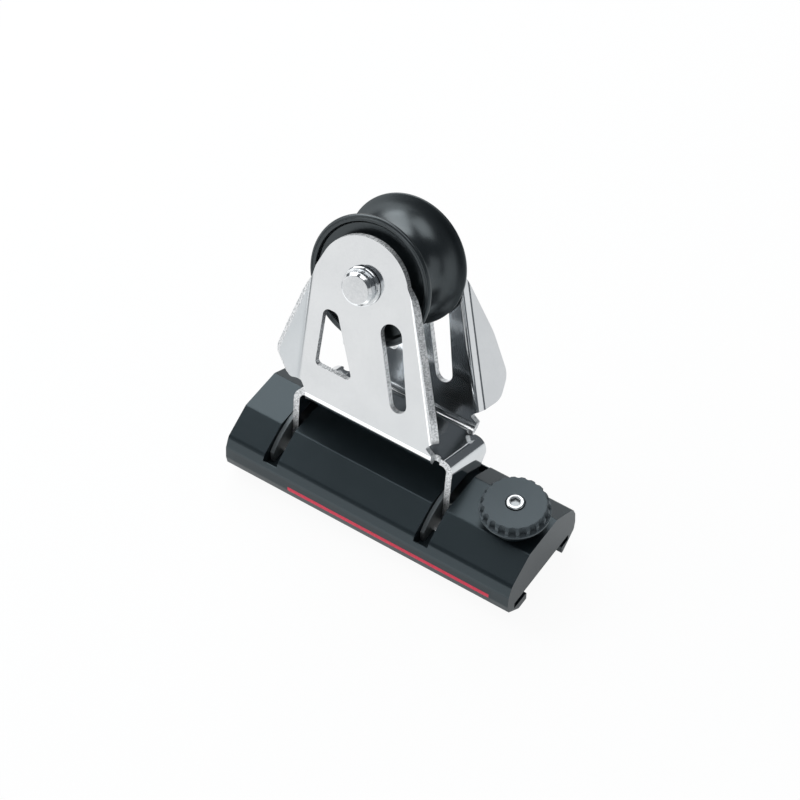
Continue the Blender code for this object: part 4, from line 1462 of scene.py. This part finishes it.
@dataclass
class SpringStop:
    """The knob, its screw, the dark cap under it and the spring inside."""

    knob_radius: float = 0.0132
    grip_radius: float = 0.0126
    face_radius: float = 0.0112
    under: float = 0.0070
    height: float = 0.0046
    flange: float = 0.0010
    hollow_radius: float = 0.0106
    hollow: float = 0.0018
    scallops: int = 20
    scallop_radius: float = 0.00135
    scallop_depth: float = 0.0080
    screw_radius: float = 0.0034
    screw_proud: float = 0.0006
    screw_head: float = 0.0018
    shank: float = 0.0014
    shank_end: float = 0.0025
    socket_radius: float = 0.0021
    socket_depth: float = 0.0012
    mouth_depth: float = 0.0003
    pin_bore: float = 0.0025
    collar_drop: float = 0.0127
    cap_top: float = 0.0064
    cap_radius: float = 0.0092
    cap_drop: float = 0.0020
    plug_radius: float = 0.0049
    lift: float = 0.0050
    coils: float = 4.5
    coil_radius: float = 0.0034
    wire: float = 0.00045

    def knob(self, finish: Material) -> Object:
        """The scalloped knob, its pockets cut by a node tree.

        Args:
            finish: Its material.

        Returns:
            The knob, in the stop's own axes.
        """
        low = TOP + self.under
        top = low + self.height
        seat = top + self.screw_proud - self.screw_head - GAP
        roof = low + self.hollow
        bore = self.screw_radius + GAP
        profile = filleted([
            (bore, top - 0.0001, 0.0001), (self.face_radius + 0.0006, top, 0.0010),
            (self.grip_radius, top - 0.0014, 0.0008),
            (self.grip_radius, low + self.flange + 0.0002, 0.0001),
            (self.knob_radius, low + self.flange, 0.0002), (self.knob_radius, low, 0.0002),
            (self.hollow_radius, low, 0.0), (self.hollow_radius, roof, 0.0),
            (self.pin_bore, roof, 0.0), (self.pin_bore, seat, 0.0), (bore, seat, 0.0),
        ])
        obj = lathe("scalloped_knob", profile, 192)
        tree = GeoTree("scallop_tree", {
            "Scallops": self.scallops, "Scallop radius": self.scallop_radius,
            "Ring radius": self.grip_radius,
            "Floor": low + self.flange, "Depth": self.scallop_depth,
        })
        drills = tree.bars("Scallops", "Ring radius", "Scallop radius", "Depth", 24)
        raised = tree.realized(tree.raised(drills, tree.size("Floor") + tree.size("Depth") * 0.5))
        pockets = tree.node(
            "GeometryNodeMeshBoolean", {"operation": "DIFFERENCE", "solver": "EXACT"},
            {"Mesh 1": tree.size("Geometry"), "Mesh 2": raised},
        )
        tree.apply(obj, pockets, finish)
        obj.data.transform(Matrix.Rotation(math.pi / self.scallops, 4, "Z"))
        return softened(obj, 0.00012, 2, 38.0)

    def screw(self) -> Object:
        """The bright screw with its hexagon socket, whose inside has material number 1, which is dressed in
        darker steel as painted shade.

        Returns:
            The screw, in the stop's own axes.
        """
        top = TOP + self.under + self.height + self.screw_proud
        low = top - self.screw_head
        end = TOP + self.shank_end
        obj = lathe("socket_screw", filleted([
            (0.0, top, 0.0), (self.screw_radius, top, 0.0006), (self.screw_radius, low, 0.0002),
            (self.shank, low, 0.0), (self.shank, end, 0.0), (0.0, end, 0.0),
        ]))
        over = top + 0.001
        mouth = top - self.mouth_depth
        dish = [(0.0, over), (self.socket_radius, over), (self.socket_radius, mouth), (0.0, mouth)]
        cut(obj, lathe("socket_mouth", dish, 48))
        socket = plate("socket", [circle(self.socket_radius * 0.92, steps=6)], self.socket_depth, Plane.XY)
        socket.data.transform(Matrix.Translation((0.0, 0.0, top)))
        cut(obj, socket)
        softened(obj, 0.00012, 2, 40.0)
        two_numbers(obj)
        # Material number 1 marks the socket's inside, which gets darker steel as painted shade in the
        # recess.
        for face in obj.data.polygons:
            inside = face.center.xy.length < self.socket_radius + 0.00005
            face.material_index = int(inside and face.center.z < top - 0.0002)
        return obj

    def spring_ends(self) -> Point:
        """Lower and upper end of the spring at rest."""
        return TOP - self.collar_drop + GAP, TOP - self.cap_drop - GAP

    def spring(self, finish: Material) -> Object:
        """The coil spring between the pin's collar and the cap, wound by a node tree.

        Args:
            finish: Its material.

        Returns:
            The spring, in the stop's own axes.
        """
        low, high = self.spring_ends()
        tree = GeoTree("spring_tree", {
            "Coils": self.coils, "Coil radius": self.coil_radius, "Wire radius": self.wire,
            "Low": low + self.wire, "Height": high - low - 2.0 * self.wire,
        })
        radius = tree.size("Coil radius")
        turns = tree.node("GeometryNodeCurveSpiral", {}, {
            "Resolution": 24, "Rotations": tree.size("Coils"), "Start Radius": radius, "End Radius": radius,
            "Height": tree.size("Height"),
        })
        ring = tree.node(
            "GeometryNodeCurvePrimitiveCircle", {}, {"Resolution": 10, "Radius": tree.size("Wire radius")},
        )
        inputs = {"Curve": turns, "Profile Curve": ring, "Fill Caps": True}
        wound = tree.raised(tree.node("GeometryNodeCurveToMesh", {}, inputs), tree.size("Low"))
        obj = tree.apply(linked("coil_spring", bpy.data.meshes.new("coil_spring")), wound, finish)
        joined(obj.data)
        return smooth(obj, 50.0)

    def cap(self) -> Object:
        """The dark round cap that the knob comes down over.

        Returns:
            The cap, in the stop's own axes.
        """
        high = TOP + self.cap_top
        low = TOP - self.cap_drop
        profile = filleted([
            (self.pin_bore, high, 0.0), (self.cap_radius, high, 0.0008),
            (self.cap_radius, TOP + GAP, 0.0002),
            (self.plug_radius, TOP + GAP, 0.0), (self.plug_radius, low, 0.0), (self.pin_bore, low, 0.0),
        ])
        return smooth(lathe("round_cap", profile))

    def build(self) -> None:
        """Makes and dresses the stop."""
        grey = Moulded("knob_plastic").build()
        bright = PolishedSteel("screw_steel", STOP, (0.62, 0.64, 0.65), (0.42, 0.44, 0.45), 0.24).build()
        # A darker copy of the screw's steel for the socket's inside: painted shade in the recess.
        socket_shade_steel = PolishedSteel("socket_steel", STOP, (0.34, 0.36, 0.37), (0.20, 0.21, 0.22), 0.34).build()
        black = Anodised("cap_black").build()
        wire = PolishedSteel("spring_wire", STOP, (0.5, 0.5, 0.49)).build()
        present(self.knob(grey), [grey], Body.KNOB, "stop_knob", STOP)
        present(self.screw(), [bright, socket_shade_steel], Body.KNOB, "knob_screw", STOP)
        present(self.cap(), [black], Body.CAR, "stop_cap", STOP)
        spring = present(self.spring(wire), [wire], Body.CAR, "stop_spring", STOP)
        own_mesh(spring)


@dataclass
class HiddenFittings:
    """CAD pieces whose shape is right and that only get a finish."""

    steel_nodes: tuple[str, ...] = ("pivot_rod", "inner_race", "stop_pin")
    plastic_nodes: tuple[str, ...] = (
        "track_guide_near", "track_guide_far", "thrust_washer_near", "thrust_washer_far",
    )

    def build(self) -> None:
        """Gives the fittings their materials."""
        steel = PolishedSteel("fitting_steel", HERE).build()
        plastic = Moulded("fitting_plastic", (0.040, 0.042, 0.045), (0.055, 0.058, 0.062)).build()
        for names, finish in ((self.steel_nodes, steel), (self.plastic_nodes, plastic)):
            for name in names:
                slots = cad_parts[name].data.materials
                slots.clear()
                slots.append(finish)
                LOG.info("%s: finished", name)


@dataclass(frozen=True)
class Lamp:
    """A soft box, with its place, its width and height, its watts and the height that it faces."""

    name: str
    place: Corner
    size: Point
    power: float
    aim: float

    def build(self) -> None:
        """Adds the lamp to the scene."""
        data = bpy.data.lights.new(self.name, "AREA")
        data.shape = "RECTANGLE"
        data.size, data.size_y = self.size
        data.energy = self.power
        obj = linked(self.name, data)
        obj.location = self.place
        back = Vector(self.place) - Vector((0.0, 0.0, self.aim))
        obj.rotation_euler = back.to_track_quat("Z", "Y").to_euler()


@dataclass
class Studio:
    """Floor, lamps, surroundings and camera."""

    azimuth: float = math.radians(33.59)
    elevation: float = math.radians(50.80)
    distance: float = 1.0291
    focal_share: float = 2880.3 / 800.0
    sensor: float = 36.0
    target: Corner = (0.00973, 0.0, 0.05538)
    floor_z: float = -0.0069
    grey: Sequence[float] = (0.11, 0.12, 0.13, 1.0)
    # Ends of a floor strip before the car that glows brighter in mirrors: a painted reflection.
    painted_reflection_across: Corner = (-0.17, -0.045, 0.02)
    painted_reflection_along: Corner = (-0.17, 0.07, 0.04)
    lamps: tuple[Lamp, ...] = (
        Lamp("back_left_box", (-0.95, 0.60, 1.10), (2.2, 1.3), 27.0, 0.03),
        Lamp("top_box", (0.03, -0.10, 1.42), (1.0, 0.8), 5.2, 0.03),
        Lamp("left_box", (-1.10, -0.45, 0.85), (0.9, 0.8), 3.4, 0.03),
        Lamp("right_panel", (0.76, -0.84, 0.30), (0.85, 0.62), 1.25, 0.05),
        Lamp("right_card", (1.15, 0.10, 0.28), (0.76, 0.62), 1.02, 0.05),
        Lamp("left_panel", (-1.00, -0.85, 0.26), (1.1, 0.50), 1.9, 0.05),
    )

    def camera(self) -> None:
        """Puts the camera at the photograph's viewing angle."""
        level = math.cos(self.elevation)
        back = Vector((
            math.sin(self.azimuth) * level, -math.cos(self.azimuth) * level, math.sin(self.elevation),
        ))
        data = bpy.data.cameras.new("photo_camera")
        data.lens = self.focal_share * self.sensor
        data.sensor_width = self.sensor
        data.clip_start = 0.01
        data.clip_end = 20.0
        obj = linked("photo_camera", data)
        obj.location = Vector(self.target) + back * self.distance
        obj.rotation_euler = back.to_track_quat("Z", "Y").to_euler()
        bpy.context.scene.camera = obj

    def floor_finish(self) -> Material:
        """White to the camera. In mirrors the glow carries painted shade, fading towards +X in random
        patches, and one bright strip before the car as a painted reflection.

        Returns:
            The material.
        """
        made = Surface("white_floor")
        made.constants(Base_Color=(0.86, 0.89, 0.90, 1.0), Roughness=0.9, Specular_IOR_Level=0.1)
        path = made.add("ShaderNodeLightPath")
        camera, glossy, clear = (
            Expr(made, path.outputs[f"Is {ray} Ray"]) for ray in ("Camera", "Glossy", "Transmission")
        )
        mirrored = glossy + clear
        along = made.place.part(0)
        across = made.place.part(1)
        # Mirrors see the floor's glow fall off towards +X in random patches: painted shade for the car's
        # shadow on the floor.
        painted_shade_glow = (made.noise(made.place, 5.0, 1.0) * 0.5 + 0.44 - along * 2.0).maths("MAXIMUM", 0.2)
        seen = (camera * 0.94 + mirrored * painted_shade_glow).maths("MINIMUM", 1.0)
        # A strip before the car that mirrors see glowing brighter: a painted reflection.
        strip = across.between(*self.painted_reflection_across) * along.between(*self.painted_reflection_along)
        mixed = Expr(made, made.shader.outputs[0])
        for share, strength in ((seen, 1.0), (mirrored * strip, 1.8)):
            glow = made.node("ShaderNodeEmission", {}, {"Color": WHITE, "Strength": strength})
            mixed = made.node("ShaderNodeMixShader", {}, {0: share, 1: mixed, 2: glow})
        made.link(mixed, made.tree.nodes["Material Output"].inputs["Surface"])
        return made.material

    def floor(self) -> None:
        """Adds the floor."""
        bm = bmesh.new()
        bmesh.ops.create_grid(bm, x_segments=1, y_segments=1, size=3.0)
        bmesh.ops.translate(bm, vec=(0.0, 0.0, self.floor_z), verts=bm.verts)
        mesh = bpy.data.meshes.new("floor")
        bm.to_mesh(mesh)
        bm.free()
        obj = linked("floor", mesh)
        mesh.materials.append(self.floor_finish())

    def surroundings(self) -> None:
        """White to the camera, soft grey to the object."""
        world = bpy.data.worlds.new("studio")
        world.use_nodes = True
        bpy.context.scene.world = world
        tree = Tree(world.node_tree)
        tree.tree.nodes.clear()
        camera = tree.node("ShaderNodeLightPath", out="Is Camera Ray")
        grey, white = (
            tree.node("ShaderNodeBackground", {}, {"Color": colour, "Strength": 1.0})
            for colour in (self.grey, WHITE)
        )
        mixed = tree.node("ShaderNodeMixShader", {}, {0: camera, 1: grey, 2: white})
        tree.add("ShaderNodeOutputWorld", {}, {"Surface": mixed})

    def build(self) -> None:
        """Makes the studio."""
        bpy.context.scene.view_settings.view_transform = "Standard"
        self.camera()
        self.floor()
        self.surroundings()
        for lamp in self.lamps:
            lamp.build()


def main() -> None:
    """Builds the sub-assemblies in order."""
    logging.basicConfig(level=logging.INFO, format="%(name)s %(message)s")
    for maker in (Studio, CarBody, SteelFrame, Wheel, SpringStop, HiddenFittings):
        LOG.info("building %s", maker.__name__)
        maker().build()
    bpy.context.view_layer.update()


if __name__ == "__main__":
    main()
